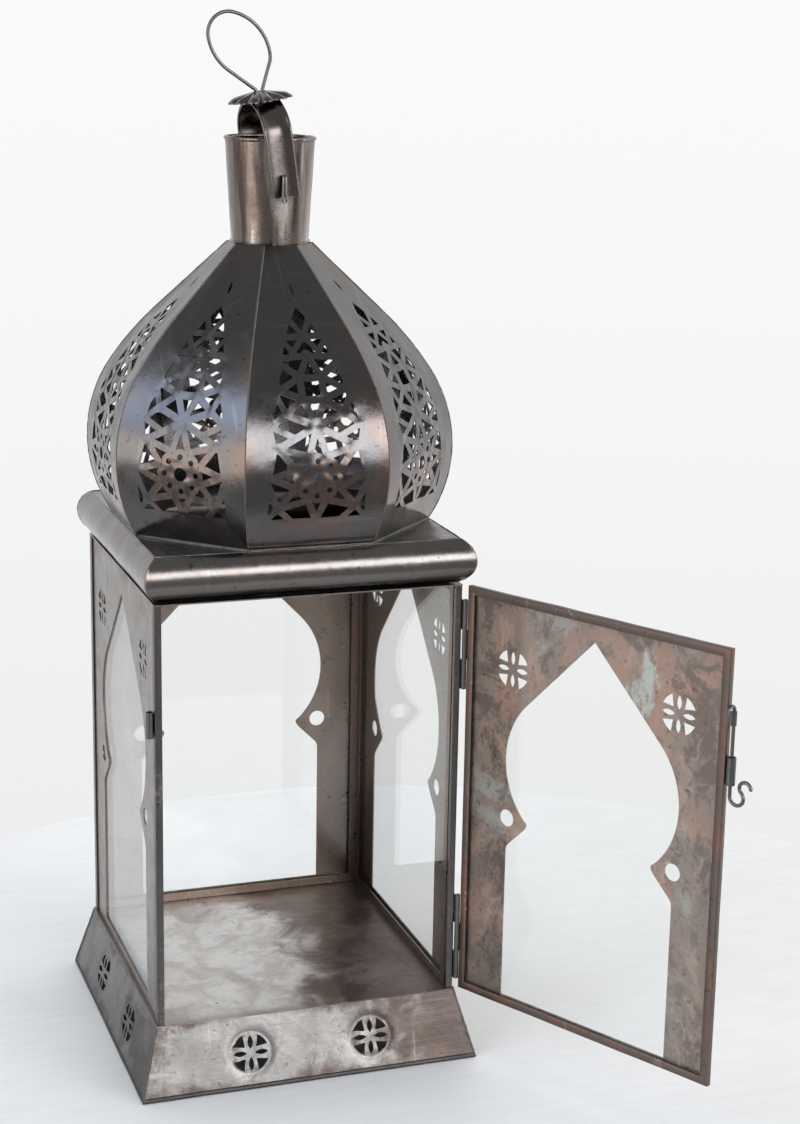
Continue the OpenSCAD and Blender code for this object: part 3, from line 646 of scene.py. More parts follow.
SIDES = {"right": 0, "back": 1, "left": 2, "front": 3}
flare = skirt_bottom - skirt_top
slope = atan2(flare, skirt_height)
slope_length = hypot(flare, skirt_height)
SKIRT_ROSETTE_X, SKIRT_ROSETTE_R = 41, 12.5
HEM_HEIGHT = 3.4


def skirt_half(v):
    """Half the width of a skirt panel at v up its slope."""
    return skirt_bottom - v * sin(slope) - 0.1


def build_skirt():
    low, middle = HEM_HEIGHT / cos(slope), slope_length / 2
    bottom, top = skirt_half(low), skirt_half(slope_length)
    outline = [(-bottom, low), (bottom, low), (top, slope_length), (-top, slope_length)]
    centres = [(-SKIRT_ROSETTE_X, middle), (SKIRT_ROSETTE_X, middle)]
    openings = [loop for centre in centres for loop in rosette(centre, SKIRT_ROSETTE_R)]
    guides = [arc(centre, SKIRT_ROSETTE_R * grow, 0, 348, 29)
              for centre in centres for grow in (1.07, 1.18, 1.3)]
    cut = cut_flat(outline, openings, 5, 2.2, guides)
    out = Vector((cos(slope), 0, sin(slope)))

    def rim(u, v):
        edge = 1 - min((skirt_half(v) - abs(u)) / 22, (v - low) / 12, (slope_length - v) / 9)
        # Besides the browner borders, the last term grows towards the right of every panel: painted
        # shade, each skirt panel darker and browner on its right.
        return max(0.0, edge, min(1.7, (u + 5) / 60))

    for side, k in SIDES.items():
        def surface(u, v):
            p = Vector((skirt_bottom - v * sin(slope), u, v * cos(slope)))
            edge = min(1, (skirt_half(v) - abs(u)) / 14, (slope_length - v) / 10 + 0.1, v / 14)
            depth = wave((u, v, 40 * k), 30, 0.9, k + 1.5) * max(0, edge)
            from_hole = hypot(abs(u) - SKIRT_ROSETTE_X, v - middle) / SKIRT_ROSETTE_R
            depth -= 0.75 * max(0.0, 1 - abs(from_hole - 1.1) / 0.22)
            if from_hole < 1:
                depth += wave((u, v, 7 * k), 3, 0.5, 8.8)
            return p + out * (depth - 0.35), out
        sheet(f"skirt_sheet_{side}", cut, surface, "skirt", rim=rim, turn=quarter_turn(k),
              replaces=[f"skirt_{side}"])

    hem = Mesh()
    section = arc((-1.2, 1.2), 1.2, -90, 0, 4) + arc((-1.2, 2.4), 1.2, 0, 180, 6)[1:] + [(-2.4, 0.4)]
    for k in range(4):
        rings = []
        for i in range(33):
            t = -1 + 2 * i / 32
            ring = []
            for x, z in section:
                px = skirt_bottom + x - z * tan(slope)
                p = Vector((px, t * px, z))
                p.x += wave(p, 26, 0.22, k) * (1 - t ** 8) - 0.15
                p.z = max(0.0, p.z)
                ring.append(quarter_turn(k) @ p)
            rings.append(ring)
        hem.loft(rings)
    hem.make("base_hem_fold", "hem", replaces=["base_hem"])

    heights = [2.5 + (skirt_height - 3) * i / 14 for i in range(15)]
    line = [(skirt_bottom - flare * z / skirt_height - 0.45, z) for z in heights]
    corner_seams("skirt_seams", line, 0.75)


def build_floor():
    def inset(u, v):
        return (skirt_top - max(abs(u), abs(v))) / 12

    def surface(u, v):
        edge = min(1, inset(u, v))
        dip = wave((u, v, 0), 46, 1.0, 3.3) * edge - 0.35 * edge
        return Vector((u, v, floor_z + min(dip, 0.15 * edge) - 0.02)), Vector((0, 0, 1))

    def rim(u, v):
        return max(0.0, 1 - inset(u, v))
    cut = cut_flat(rectangle(skirt_top, -skirt_top, skirt_top), [], 7)
    sheet("floor_sheet", cut, surface, "floor", thickness=0.9, rim=rim, replaces=["floor_plate"])


# -------- chamber

def build_posts():
    """Corner angles; the faces beside the door are narrower than the others."""
    leg, face, thick, r = 6.5, 4.6, 1.0, 1.0
    legs = {"post_front_right": (face, leg), "post_back_right": (leg, leg),
            "post_back_left": (leg, leg), "post_front_left": (leg, face)}
    for k, (name, (leg_x, leg_y)) in enumerate(legs.items()):
        lo, hi = box(name)
        section = [(half - leg_x, -half + 0.25), (half - leg_x + 0.25, -half)]
        section += arc((half - r, -half + r), r, -90, 0, 5)
        section += [(half, -half + leg_y - 0.25), (half - 0.25, -half + leg_y),
                    (half - thick, -half + leg_y), (half - thick, -half + thick),
                    (half - leg_x, -half + thick)]
        rings = []
        for i in range(36):
            z = lo.z + (hi.z - lo.z) * i / 35
            dx, dy = wave((z, 3 * k, 0), 55, 0.12, 7 + k), wave((z, 0, 3 * k), 60, 0.12, 9 + k)
            rings.append([quarter_turn(k) @ Vector((x + min(dx, 0), y + max(dy, 0), z))
                          for x, y in section])
        Mesh().loft(rings).make(f"{name}_fold", "post", replaces=[name])


def build_walls():
    openings = arch_loops(WALL_ROSETTE)
    high = box("wall_right")[1].z - floor_z
    for side in ("right", "back", "left"):
        lo, hi = box(f"wall_{side}")
        width = max(hi.x - lo.x, hi.y - lo.y) / 2
        out = {"right": hi.x, "back": hi.y, "left": -lo.x}[side]

        def surface(u, v):
            return Vector((out, u, floor_z + v)), Vector((1, 0, 0))

        def rim(u, v):
            return border_tint(u, v, width, high, 16)
        sheet(f"arch_{side}", cut_flat(rectangle(width, 0.1, high), openings, 9, 2.4), surface, "wall",
              rim=rim, turn=quarter_turn(SIDES[side]), replaces=[f"wall_{side}"])


def dress(node, material, bevel=0.15):
    """Keeps a CAD node, with its edges eased and a finished material."""
    o = frame["nodes"][node]
    o.data.materials.clear()
    o.data.materials.append(material)
    if bevel:
        ease = o.modifiers.new("eased_edges", "BEVEL")
        ease.width = bevel * MM
        ease.segments = 2
        ease.limit_method = "ANGLE"
        ease.angle_limit = radians(40)


# -------- cornice and plate

ROLL_R = 16
roll_x = box("cornice_right")[1].x - ROLL_R
roll_z = box("cornice_right")[0].z + ROLL_R
VENT_R = 70


def build_cornice():
    section = arc((0, 0), ROLL_R, -90, 60, 26) + arc((0, 0), ROLL_R - SHEET, 60, -90, 26)
    for side, k in SIDES.items():
        rings = []
        for i in range(49):
            t = -1 + 2 * i / 48
            ring = []
            for x, z in section:
                angle = atan2(z, x)
                dent = wave((150 * t, angle * 9, 17 * k), 24, 0.5, 2.0) * (1 - t ** 6)
                dent = min(dent, 0.0) + 0.35 * max(dent, 0.0) - 0.18 * (1 - t ** 6)
                p = Vector((roll_x + x, t * (roll_x + x - 0.05), roll_z + z))
                p += Vector((cos(angle), 0, sin(angle))) * dent
                ring.append(quarter_turn(k) @ p)
            rings.append(ring)
        Mesh().loft(rings).make(f"cornice_roll_{side}", "cornice", replaces=[f"cornice_{side}"])
    line = [(roll_x + x, roll_z + z) for x, z in arc((0, 0), ROLL_R - 0.5, -85, 60, 22)]
    corner_seams("cornice_seams", line, 0.7)


def build_top_plate():
    def surface(u, v):
        edge = min(1, (plate_half - max(abs(u), abs(v))) / 10)
        dip = wave((u, v, 9), 34, 0.9, 8.3) * edge
        return Vector((u, v, plate_top + min(dip, 0.0) - 0.02)), Vector((0, 0, 1))
    outline = rectangle(plate_half, -plate_half, plate_half)
    cut = cut_flat(outline, [arc((0, 0), VENT_R, 0, 355, 71)], 6, 6)
    sheet("top_sheet", cut, surface, "plate", replaces=["top_plate"])

    r = plate_half - 0.1
    path = [(p.x, p.y, plate_top - 0.1) for p in divide(rectangle(r, -r, r), 5)]
    Mesh().tube(path, 0.55, 8, wrap=True, wobble=0.6).make("top_sheet_lap", "cornice")


# -------- dome

BELLY = dict(x=15.0, r=97.0)
SHOULDER_BACK = 110.0
SHOULDER_AT = atan(336 / 527)
PANEL = radians(45)
belly_z = plate_top + 50
shoulder_r = BELLY["r"] + SHOULDER_BACK
shoulder_x = BELLY["x"] - SHOULDER_BACK * cos(SHOULDER_AT)
shoulder_z = belly_z - SHOULDER_BACK * sin(SHOULDER_AT)
belly_top = belly_z + BELLY["r"] * sin(SHOULDER_AT)
cone_x = shoulder_x + shoulder_r * cos(radians(45))
cone_z = shoulder_z + shoulder_r * sin(radians(45))


def apothem(z):
    """Distance from the dome's axis to the middle of a panel."""
    if z < belly_top:
        return BELLY["x"] + sqrt(BELLY["r"] ** 2 - (z - belly_z) ** 2)
    if z < cone_z:
        return shoulder_x + sqrt(shoulder_r ** 2 - (z - shoulder_z) ** 2)
    return cone_x - (z - cone_z)


def rise(z):
    """Angle of the panel's normal above the horizon."""
    if z < belly_top:
        return asin((z - belly_z) / BELLY["r"])
    if z < cone_z:
        return asin((z - shoulder_z) / shoulder_r)
    return radians(45)


def strap(a, b, width):
    """A bar from a to b, a little longer at both ends."""
    a, b = Vector(a), Vector(b)
    along = (b - a).normalized()
    side = Vector((-along.y, along.x)) * width / 2
    a, b = a - along * 0.3, b + along * 0.3
    return [a - side, b - side, b + side, a + side]


# Strapwork of a panel: nodes on the middle line and on its right half, y from the rosette's centre.
ROSETTE_R, LOBE_AT = 16, 10.9
STAR, UPPER, TIP = (0, 32.2), (0, 72), (0, 83)
KNEE, NECK, CROSS, WING = (7, 48), (7, 60.5), (18.5, 39.3), (8.3, 74.6)
NE, EAST, SE, SOUTH = (25, 19.5), (29.5, 1), (25, -18.5), (0, -27)
OUTER, SHOULDER = (28.5, 32.5), (21, 53.2)
STRAPS = [
    (STAR, NE, 4.4), (STAR, CROSS, 4.4), (STAR, KNEE, 4.4), (OUTER, (15, 25.8), 3.8),
    (OUTER, KNEE, 4.0), (CROSS, (23.5, 50), 3.8), (KNEE, SHOULDER, 4.0), (KNEE, NECK, 4.4),
    (KNEE, (0, 47.4), 4.4), (NECK, (0, 59.6), 4.0), (NECK, SHOULDER, 3.8), (NECK, (18.5, 68.5), 4.0),
    (NECK, UPPER, 4.0), (UPPER, (17.5, 71.3), 3.4), (TIP, WING, 3.2), (WING, (6, 71.5), 3.2),
    (WING, (14, 81.5), 3.2), (TIP, (14, 83), 3.4), (TIP, (6.8, 93), 3.4),
    (SE, (31.5, -3.5), 4.2), (SE, (33, -27), 3.6), (SE, (14, -29), 3.8),
]
NODES = [(STAR, 4.8), (UPPER, 3.6), (TIP, 3.0), (KNEE, 3.3), (NECK, 3.2), (CROSS, 3.0),
         (NE, 3.4), (SE, 3.6), (WING, 2.4)]
BORDER = [(31, -25.5), (31, -9), (29.5, 1), (25.8, 19), (28, 31), (25.8, 41), (20.8, 51),
          (20.4, 58.5), (16.5, 67), (15.2, 73), (12.6, 79), (10.4, 83.5), (6.2, 91), (0, 99)]


def filigree(rose):
    """(window outline, strapwork that crosses it, small holes) of one panel, y measured from rose."""
    window = [(x, y + rose) for x, y in BORDER]
    window += [(-x, y) for x, y in reversed(window)]
    outer = [STAR, NE, EAST, SE, SOUTH]
    rows = list(STRAPS)
    for k in range(4):
        at = polar(ROSETTE_R - 1, radians(67.5 - 45 * k))
        rows += [(outer[k], at, 4.3), (at, outer[k + 1], 4.3)]
    straps = []
    for a, b, width in rows:
        for side in (-1, 1):
            straps.append([(side * p.x, p.y + rose) for p in strap(a, b, width)])
    for (x, y), r in NODES:
        for side in (-1, 1):
            straps.append(arc((side * x, y + rose), r, 0, 345, 23))
    straps.append(arc((0, rose), ROSETTE_R - 2.2, 0, 350, 35))
    holes = [arc((0, rose), 4.6, 22.5, 337.5, 7)]
    for k in range(8):
        x, y = polar(LOBE_AT, radians(45 * k))
        lobe = (x, rose + y)
        straps.append(arc(lobe, ROSETTE_R - LOBE_AT, 0, 345, 23))
        holes.append(arc(lobe, 1.9, 0, 324, 9))
    holes.append(almond((0, rose + 109), 7.5, 2.0, 8, 4))
    return window, straps, holes


def build_dome():
    rose = belly_z - 3.6
    window, straps, holes = filigree(rose)
    low, high = dome_low, dome_high - 0.3
    half_angle = tan(PANEL / 2)
    corner = cos(PANEL / 2)

    def is_metal(p):
        if any(inside(p, h) for h in holes):
            return False
        return not inside(p, window) or any(inside(p, s) for s in straps)

    steps = 46
    heights = [low + (high - low) * i / steps for i in range(steps + 1)]
    right = [(apothem(z) * half_angle - 0.15, z) for z in heights]
    outline = right + [(-x, z) for x, z in reversed(right)]
    cut = cut_flat(outline, [window] + straps + holes, 4.2, 2.4, is_metal=is_metal)

    def rim(u, v):
        border = 1 - min((apothem(v) * half_angle - abs(u)) / 15, (v - low) / 14, (high - v) / 45)
        lace = min(1, (32 - abs(u)) / 12, (v - rose + 44) / 16, (rose + 24 - v) / 26)
        return max(0.0, 0.7 * border, 0.85 * lace)

    for k in range(8):
        def surface(u, v):
            r, a = apothem(v), rise(v)
            normal = Vector((cos(a), 0, sin(a)))
            edge = max(0, min(1, (r * half_angle - abs(u)) / 9, (v - low) / 7, (high - v) / 14))
            dent = wave((u, v, 31 * k), 27, 0.75, k * 1.7) + wave((u, v, 11 * k), 9, 0.18, k)
            if abs(u) < 30 and rose - 28 < v < rose + 96:
                dent += wave((u, v, 23 * k), 5.5, 0.55, 2.2 + k)
            return Vector((r, u, v)) + normal * (dent * edge - 0.1), normal
        turn = Matrix.Rotation(-pi / 2 - PANEL * k, 4, "Z")
        sheet(f"gore_{k + 1}", cut, surface, "dome", thickness=0.7, rim=rim, turn=turn,
              replaces=[f"dome_panel_{k + 1}"], sharp=40)

    seams = Mesh()
    heights = [low + 0.2 + (high - low - 0.4) * i / 60 for i in range(61)]
    for k in range(8):
        a = -pi / 2 - PANEL * (k + 0.5)
        line = [(apothem(z) / corner - 0.35, z) for z in heights]
        seams.tube([polar(r, a, z) for r, z in line], 0.52, 8, wobble=0.4)
    r = apothem(low) / corner
    corners = [polar(r, PANEL * (k + 0.5)) for k in range(8)]
    path = [(p.x, p.y, low + 0.25) for p in divide(corners, 6)]
    seams.tube(path, 0.8, 8, wrap=True, wobble=0.6)
    seams.make("dome_seams", "solder")


# -------- chimney

def build_chimney():
    r_low, r_high, wall, count = 25.0, 28.8, 0.8, 22
    up = [(r_low + (r_high - r_low) * i / count, chimney_low + (chimney_high - chimney_low) * i / count)
          for i in range(count + 1)]
    down = [(r - wall, z) for r, z in reversed(up)]

    def dent(r, a, z):
        return wave(polar(r, a, z), 22, 0.25, 4.4)
    lathe(up + down, 96, dent).make("chimney_tube", "chimney", replaces=["chimney"],
                                    finish="mottled_copper_brown_metal")

    seams = Mesh()
    seams.tube([polar(r + 0.1, radians(70), z) for r, z in up], 0.55, 8, wobble=0.5)
    seams.tube(round_loop(r_low + 0.15, chimney_low + 0.1, 72), 0.9, 8, wrap=True, wobble=0.6)
    seams.make("chimney_seams", "chimney")

    wire = Mesh().tube(round_loop(rim_hi.x - 1.4, (rim_lo.z + rim_hi.z) / 2, 96), 1.35,
                       wrap=True, wobble=0.05)
    wire.make("chimney_rim_wire", "chimney", replaces=["chimney_rim"])


def build_pins():
    """Split pins: a head inside the chimney and two legs that turn down outside the bail's foot."""
    for name, turn in (("bail_pin_front", 0), ("bail_pin_back", 180)):
        pin = Mesh()
        for side in (-1, 1):
            path = [(side * 0.75, -23, 0), (side * 0.75, -33.3, 0)]
            path += [(side * 0.85, y, z) for y, z in arc((-33.3, -1.1), 1.1, 90, 180, 4)[1:]]
            path += [(side * 0.9, -34.35, -6), (side * 1.0, -34.3, -13), (side * 1.3, -34.1, -15.4)]
            pin.tube(path, 0.78, 10)
        pin.tube([(-2.1, -24.1, 0), (2.1, -24.1, 0)], 1.1, 10)
        place = Matrix.Translation(pivot * MM) @ Matrix.Rotation(radians(turn), 4, "Z")
        pin.make(f"{name}_wire", "wire", replaces=[name], place=place)


# -------- bail, cap and ring

STRAP_Y, STRAP_FOOT, STRAP_LEG = 31.45, 13.0, 25.3
CORNER_Y = 15.0
CORNER_R = STRAP_Y - CORNER_Y
CORNER_TURN = degrees(acos(3 / 5))
CROWN_BACK = CORNER_Y * 5 / 3
CROWN_R = CROWN_BACK + CORNER_R
CROWN_H = STRAP_LEG - CROWN_BACK * 4 / 5
STRAP_TOP = CROWN_H + CROWN_R
CAP_TOP = STRAP_TOP + 4.5


def build_bail():
    """A strap with beaded edges over the chimney."""
    width, thick, bead = 16.5, 0.9, 1.1
    turn = degrees(asin(thick / 2 / bead))
    section = []
    for side in (1, -1):
        for x, off in arc((width / 2, 0), bead, 180 - turn, turn - 180, 8):
            section.append((side * off, side * x))
    path = [((-STRAP_Y, -STRAP_FOOT + i * (STRAP_FOOT + STRAP_LEG) / 8), (-1, 0)) for i in range(9)]
    bends = (
        (-CORNER_Y, STRAP_LEG, CORNER_R, arc((0, 0), 1, 180, 180 - CORNER_TURN, 12)[1:-1]),
        (0, CROWN_H, CROWN_R, arc((0, 0), 1, 180 - CORNER_TURN, CORNER_TURN, 16)),
    )
    for y, z, r, normals in bends:
        path += [((y + r * n[0], z + r * n[1]), n) for n in normals]
    path += [((-y, z), (-ny, nz)) for (y, z), (ny, nz) in reversed(path[:20])]
    rings = []
    for (y, z), (ny, nz) in path:
        sway = wave((y, z, 0), 30, 0.3, 1.1)
        rings.append([(x + sway, y + ny * off, z + nz * off) for off, x in section])
    Mesh().loft(rings).make("bail_strap_sheet", "strap", body="bail",
                            replaces=["bail_strap"], sharp=50)


def build_cap():
    """Twelve creased petals around the hole for the ring's legs."""
    petals, ring_r, petal_r, hole_r = 12, 16.6, 4.6, 4.2
    around, out = 144, 12
    rings = []
    for j in range(around):
        a = TAU * j / around
        phi = (a + pi / petals) % (TAU / petals) - pi / petals
        edge_r = ring_r * cos(phi) + sqrt(petal_r ** 2 - (ring_r * sin(phi)) ** 2)
        valley = abs(phi) / (pi / petals)
        top, low = [], []
        for i in range(out + 1):
            t = i / out
            r = hole_r + (edge_r - hole_r) * t
            x, y = polar(r, a)
            crease = -2.3 * max(0, t - 0.2) * valley ** 2 + 1.7 * max(0, t - 0.3) * (1 - valley)
            dish = 1.2 - 5.4 * (r / 21.2) ** 1.6 - 7.5 * max(0, t - 0.8) * (1 - valley)
            z = CAP_TOP + dish + crease + wave((x, y, 0), 9, 0.4, 6.1) * t
            top.append((x, y, z - 0.35))
            low.append((x, y, z - 0.95))
        rings.append(top + low[::-1])
    Mesh().loft(rings, wrap=True).make("petal_cap_sheet", "strap", body="bail",
                                       replaces=["petal_cap"], sharp=60)


def build_ring():
    """Legs through the cap and an egg-shaped loop of four arcs above it, leaning to the left."""
    wire_r, leg_x, foot_x = 1.15, 2.2, 5.6
    foot_h, bend_h = STRAP_TOP - 2.6, CAP_TOP + 2
    centre, tilt = Vector((-9.1, 28.1)), 36
    half_long, half_wide, end_r = 23.3, 16.5, 13.4
    end_back = half_long - end_r
    side_r = (end_back ** 2 + half_wide ** 2 - end_r ** 2) / (2 * (half_wide - end_r))
    side_back = side_r - half_wide
    turn = degrees(atan(side_back / end_back))
    c, s = cos(radians(tilt)), sin(radians(tilt))
    low = centre + end_back * Vector((s, -c)) - Vector((leg_x, 0))
    far = centre + side_back * Vector((c, s)) + Vector((leg_x, 0))
    low_heading = degrees(atan2(low.y, low.x) - asin(end_r / low.length))
    far_heading = degrees(atan2(far.y, far.x) + asin(side_r / far.length))
    oval = arc((0, -end_back), end_r, low_heading - 90 - tilt, turn - 90, 6)
    oval += arc((-side_back, 0), side_r, turn - 90, 90 - turn, 16)[1:]
    oval += arc((0, end_back), end_r, 90 - turn, 90 + turn, 18)[1:]
    oval += arc((side_back, 0), side_r, 90 + turn, far_heading + 90 - tilt, 12)[1:]
    loop = [Vector((centre.x + c * x - s * y, 0, bend_h + centre.y + s * x + c * y)) for x, y in oval]
    right = [Vector((foot_x, 0, foot_h)), Vector((leg_x + 1.2, 0, foot_h))]
    right += [Vector((x, 0, z)) for x, z in arc((leg_x + 1.2, foot_h + 1.2), 1.2, -90, -180, 4)[1:]]
    right += [Vector((leg_x, 0, foot_h + (bend_h - foot_h) * t)) for t in (0.4, 0.7, 0.93)]
    left = [Vector((-p.x, p.y, p.z)) for p in right]
    path = right + [right[-1].lerp(loop[0], t) for t in (0.12, 0.4, 0.7)] + loop
    path += [loop[-1].lerp(left[-1], t) for t in (0.3, 0.6, 0.88)] + left[::-1]
    for p in path:
        if p.z > bend_h:
            p.y += wave(p, 22, 0.5, 3.1)
    Mesh().tube(path, wire_r, wobble=0.04).make(
        "hanging_ring_wire", "wire", body="ring", replaces=["hanging_ring"])


# -------- door

POCKET, BORDER_WIDTH = 2.9, 5.5
door_right, door_left = half, -half + 0.3
door_bottom, door_top = floor_z + 0.7, head_z - 0.45
flange = (door_depth - POCKET) / 2


def build_door_frame():
    """Four U-shaped channels mitred at the corners."""
    lip = 0.8
    section = [(BORDER_WIDTH, 0.05), (BORDER_WIDTH - 0.1, 0)]
    section += arc((lip, lip), lip, -90, -180, 4)
    section += arc((lip, door_depth - lip), lip, 180, 90, 4)
    section += [(BORDER_WIDTH - 0.1, door_depth), (BORDER_WIDTH, door_depth - 0.05),
                (BORDER_WIDTH, door_depth - flange), (lip, door_depth - flange), (lip, flange),
                (BORDER_WIDTH, flange)]
    members = {
        "rail_top": ((door_left, door_top), (door_right, door_top), (0, -1)),
        "rail_bottom": ((door_left, door_bottom), (door_right, door_bottom), (0, 1)),
        "stile_hinge": ((door_right, door_bottom), (door_right, door_top), (-1, 0)),
        "stile_latch": ((door_left, door_bottom), (door_left, door_top), (1, 0)),
    }
    for name, line in members.items():
        start, end, inward = (Vector(p) for p in line)
        along = (end - start).normalized()
        rings = []
        for i in range(31):
            t = i / 30
            ring = []
            for w, d in section:
                p = (start + (inward + along) * w).lerp(end + (inward - along) * w, t)
                ease = max(0, 1 - w / 2) * (1 - (2 * t - 1) ** 6)
                p += inward * (wave((p.x, p.y, 5), 24, 0.25, 2.7) + 0.1) * ease
                ring.append((p.x, door_back - d, p.y))
            rings.append(ring)
        Mesh().loft(rings).make(f"door_{name}_fold", "channel", body="door",
                                replaces=[f"door_{name}"])


def build_door_sheet():
    play = SHEET + 0.1
    mid, width = (door_left + door_right) / 2, (door_right - door_left) / 2 - play
    low, high = door_bottom + play - floor_z, door_top - play - floor_z
    front = door_back - flange - 2 - 0.06 - SHEET

    def surface(u, v):
        return Vector((mid + u, front, floor_z + v)), Vector((0, -1, 0))

    def rim(u, v):
        return border_tint(u, v - 1, width, door_top - floor_z, 18)
    cut = cut_flat(rectangle(width, low, high), arch_loops(DOOR_ROSETTE), 9, 2.4)
    sheet("door_arch", cut, surface, "door", rim=rim, body="door",
          replaces=["door_panel"])


def build_door_seams():
    seams = Mesh()
    for z, sz in ((door_bottom, 1), (door_top, -1)):
        for x, sx in ((door_left, 1), (door_right, -1)):
            for y in (door_back - 0.3, door_back - door_depth + 0.05):
                path = [(x + sx * t, y, z + sz * t) for t in (0.9, 2, 3, 4, 5.2)]
                seams.tube(path, 0.3, 8, wobble=0.6)
    seams.make("door_seams", "solder", body="door")


# -------- latch

WIRE_R = 1.15


def sleeve(outer_r, inner_r, height):
    """A short tube with eased ends, standing on the origin."""
    ease = 0.18
    profile = [(outer_r, ease), (outer_r, height * 0.5), (outer_r, height - ease),
               (outer_r - ease, height), (inner_r, height), (inner_r, height * 0.5), (inner_r, 0),
               (outer_r - ease, 0)]

    def dent(r, a, z):
        return wave((a * 3, z, 0), 2, 0.12, 1.0) if r > inner_r else 0
    return lathe(profile, 28, dent)


def plate(lo, hi, ease=0.15):
    """A small rectangular leaf with eased edges."""
    rings = []
    for z, inset in ((lo[2], ease), (lo[2] + ease, 0), (hi[2] - ease, 0), (hi[2], ease)):
        x0, y0, x1, y1 = lo[0] + inset, lo[1] + inset, hi[0] - inset, hi[1] - inset
        e = ease * 0.7
        rings.append([(x0 + e, y0, z), (x1 - e, y0, z), (x1, y0 + e, z), (x1, y1 - e, z),
                      (x1 - e, y1, z), (x0 + e, y1, z), (x0, y1 - e, z), (x0, y0 + e, z)])
    return Mesh().loft(rings)


def build_hook():
    """Wire hook: a bend over the top, a straight leg and an S of two curls at the foot."""
    bend_z, tip_z, pull_z = floor_z + 214.7, floor_z + 205, floor_z + 161.6
    bend_r = (KEEPER_Y - HOOK_Y) / 2
    curl_r, tail_r, curl_turn = 4.8, 4.0, 230
    path = [(0, 2 * bend_r, tip_z), (0, 2 * bend_r, tip_z + 4)]
    path += [(0, bend_r + y, bend_z + z) for y, z in arc((0, 0), bend_r, 0, 180, 12)]
    path += [(0, 0, bend_z - (bend_z - pull_z) * t) for t in (0.15, 0.35, 0.55, 0.75, 0.92)]
    path += [(x - curl_r, 0, pull_z + z) for x, z in arc((0, 0), curl_r, 0, -curl_turn, 22)]
    tail = arc((-curl_r, pull_z), curl_r + tail_r, -curl_turn, 0, 1)[0]
    path += [(x, 0, z) for x, z in arc(tail, tail_r, 180 - curl_turn, 400 - curl_turn, 20)[1:]]
    Mesh().tube(path, WIRE_R, wobble=0.05).make(
        "latch_hook_wire", "wire", body="latch_bolt", replaces=["latch_hook"])

    collar = sleeve(1.75, WIRE_R + 0.03, 9.0).turned(Matrix.Translation((0, 0, bend_z - 9.7)))
    collar.make("latch_collar_sleeve", "wire", body="latch_bolt",
                replaces=["latch_collar"])


def build_guides():
    """The hook's guide on the door and its keeper on the post, each a sleeve with a leaf."""
    guide = sleeve(2.9, 2.1, 17.2).add(plate((0.2, -2.9, 0), (11, -2.3, 10.3)))
    guide.turned(Matrix.Translation((LATCH_X, HOOK_Y, floor_z + 196.4)))
    guide.make("hook_guide_tube", "wire", body="door", replaces=["hook_guide"])

    lo, hi = box("latch_keeper")
    keeper = sleeve(2.5, 1.7, hi.z - lo.z).add(plate((1.95, 0.2, 2), (2.65, 10, 15)))
    keeper.turned(Matrix.Translation((LATCH_X, KEEPER_Y, lo.z)))
    keeper.make("latch_keeper_tube", "wire", replaces=["latch_keeper"])


# -------- build

build_skirt()
build_floor()
build_posts()
build_walls()
build_cornice()
build_top_plate()
build_dome()
build_chimney()
build_pins()
build_bail()
build_cap()
build_ring()
build_door_frame()
build_door_sheet()
build_door_seams()
build_hook()
build_guides()

for pane in ("glass_right", "glass_back", "glass_left", "door_glass"):
    dress(pane, DUSTY_GLASS if pane == "glass_left" else GLASS, bevel=0)
for strip in ("bead_right", "bead_back", "bead_left", "head_ring"):
    dress(strip, MAT["wall"])
for part in ("hinge_leaf_upper", "hinge_leaf_lower", "hinge_pin_upper", "hinge_pin_lower",
             "door_knuckle_upper", "door_knuckle_lower"):
    dress(part, MAT["wire"], bevel=0.1)


# -------- stage, in metres

def build_stage():
    """The pale floor is a round painted top that ends a little way behind the lantern."""
    reach, thick, ease, gap = 0.48, 0.03, 0.004, 0.0003
    profile = [(reach, -thick), (reach, -ease), (reach - 0.3 * ease, -0.3 * ease), (reach - ease, 0)]
    top = Mesh().loft([round_loop(r, z - gap, 160) for r, z in profile])
    mesh = bpy.data.meshes.new("floor")
    mesh.from_pydata(top.verts, [], top.faces)
    ground = bpy.data.objects.new("floor", mesh)
    bpy.context.scene.collection.objects.link(ground)
    ground.location = (0.095, -0.045, 0)
    paint, g, here = new_material("white_paint")
    mottle = g.noise(here, 9, 5, 0.6)
    streak = g.noise(g.stretch(here, (3, 22, 1), (0, 0, 1.35)), 6, 5, 0.7, 0.4)
    worn = g.total(streak, 0.6, mottle, 0.4)
    colour = g.mix(g.spread(worn, 0.3, 0.7), (0.73, 0.73, 0.725), (0.79, 0.79, 0.785))
    normal = g.bump(g.math("ADD", streak, mottle), 0.12, 0.002)
    finish_surface(g, Base_Color=colour, Roughness=0.5, Normal=normal)
    mesh.materials.append(paint)


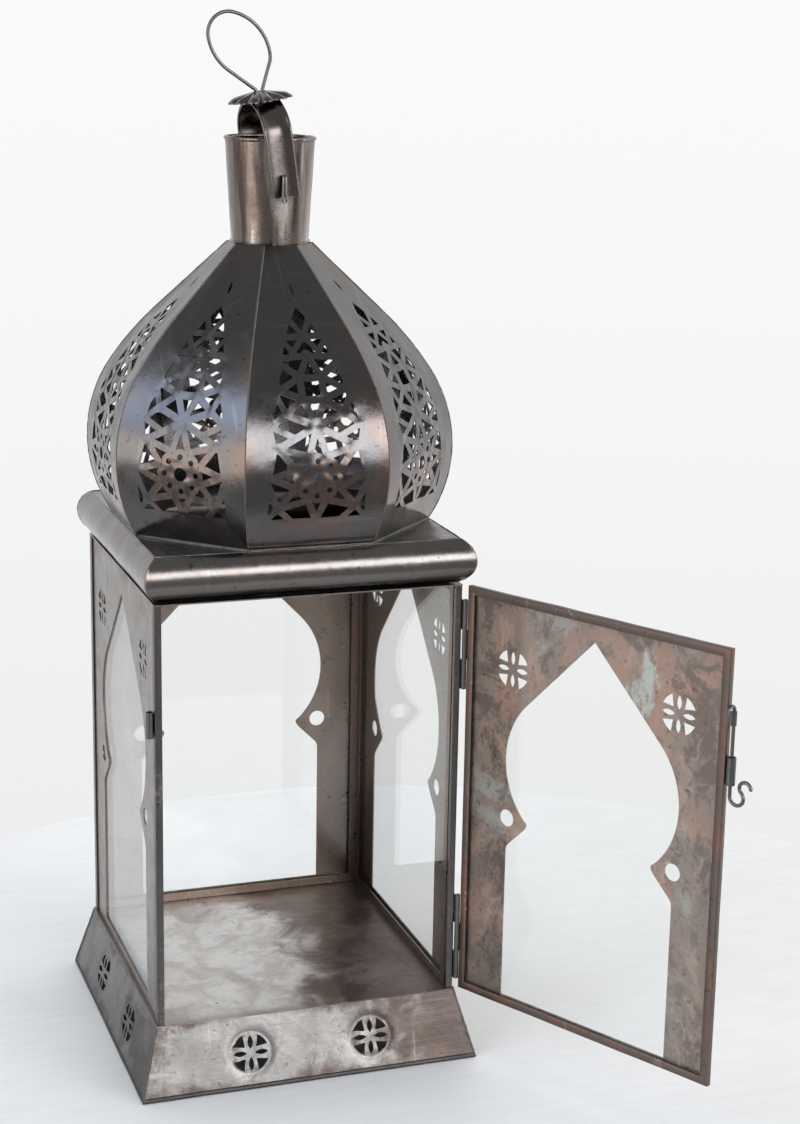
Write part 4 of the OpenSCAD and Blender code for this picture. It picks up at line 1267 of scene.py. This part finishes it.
def build_world():
    """A pale room: bright wall behind, two windows in front and at the left, dim front and ceiling."""
    world = bpy.data.worlds.new("studio")
    bpy.context.scene.world = world
    world.use_nodes = True
    g = Graph(world.node_tree)
    x, y, z = g.axes(g.node("ShaderNodeTexCoord").outputs["Generated"])
    round_ = g.math("ARCTAN2", x, g.math("MULTIPLY", y, -1.0))
    height = g.math("ARCSINE", z)

    def between(value, low, high, soft):
        edges = [radians(d) for d in (low - soft, low + soft, high - soft, high + soft)]
        start = g.spread(value, edges[0], edges[1])
        return g.math("MULTIPLY", start, g.spread(value, edges[2], edges[3], 1.0, 0.0))

    def pane(turn, lift, soft):
        return g.math("MULTIPLY", between(round_, *turn, soft[0]), between(height, *lift, soft[1]))

    level = g.mix(between(round_, -62, 62, 30), (0.92, 0.93, 0.94), (0.34, 0.335, 0.33))
    level = g.mix(pane((74, 128), (-30, 42), (14, 10)), level, (1.5, 1.5, 1.5))
    level = g.mix(between(height, 48, 100, 10), level, (0.40, 0.40, 0.41))
    below = g.math("MULTIPLY", between(height, -100, -8, 6), between(round_, -78, 78, 12))
    level = g.mix(below, level, (0.45, 0.44, 0.43))
    level = g.mix(pane((-88, -48), (-12, 12), (6, 3)), level, (3.6, 3.4, 3.15))
    level = g.mix(pane((-92, -48), (14, 42), (7, 7)), level, (2.6, 3.1, 3.8))
    level = g.mix(pane((3, 54), (1, 25), (5, 6)), level, (7.2, 7.2, 7.2))
    camera = g.node("ShaderNodeLightPath").outputs["Is Camera Ray"]
    backdrop = g.mix(g.spread(height, radians(-28), 0.0), (0.84, 0.84, 0.84), (0.95, 0.95, 0.95))
    back = g.node("ShaderNodeBackground", (g.mix(camera, level, backdrop), 1.0))
    g.node("ShaderNodeOutputWorld", {"Surface": back.outputs[0]})


def overhead_light():
    """A broad soft lamp over the scene that brightens the floor and stays out of the reflections."""
    data = bpy.data.lights.new("overhead", "AREA")
    data.shape = "DISK"
    data.size = 3.0
    data.energy = 36
    lamp = bpy.data.objects.new("overhead", data)
    lamp.location = (0.1, 0.2, 3.0)
    lamp.visible_glossy = False
    bpy.context.scene.collection.objects.link(lamp)


def build_camera():
    data = bpy.data.cameras.new("camera")
    data.sensor_width = 36
    data.lens = 69.57
    cam = bpy.data.objects.new("camera", data)
    bpy.context.scene.collection.objects.link(cam)
    yaw, pitch, roll = -0.337, -0.244, 0.019
    ahead = Vector((-sin(yaw) * cos(pitch), cos(yaw) * cos(pitch), sin(pitch)))
    right = Vector((cos(yaw), sin(yaw), 0))
    up = right.cross(ahead)
    r = right * cos(roll) + up * sin(roll)
    u = up * cos(roll) - right * sin(roll)
    turn = Matrix((r, u, -ahead)).transposed()
    cam.location = (-0.3834, -1.3608, 0.6768)
    cam.rotation_mode = "QUATERNION"
    cam.rotation_quaternion = turn.to_quaternion()
    bpy.context.scene.camera = cam


bpy.context.scene.view_settings.view_transform = "Standard"
build_stage()
build_world()
overhead_light()
build_camera()
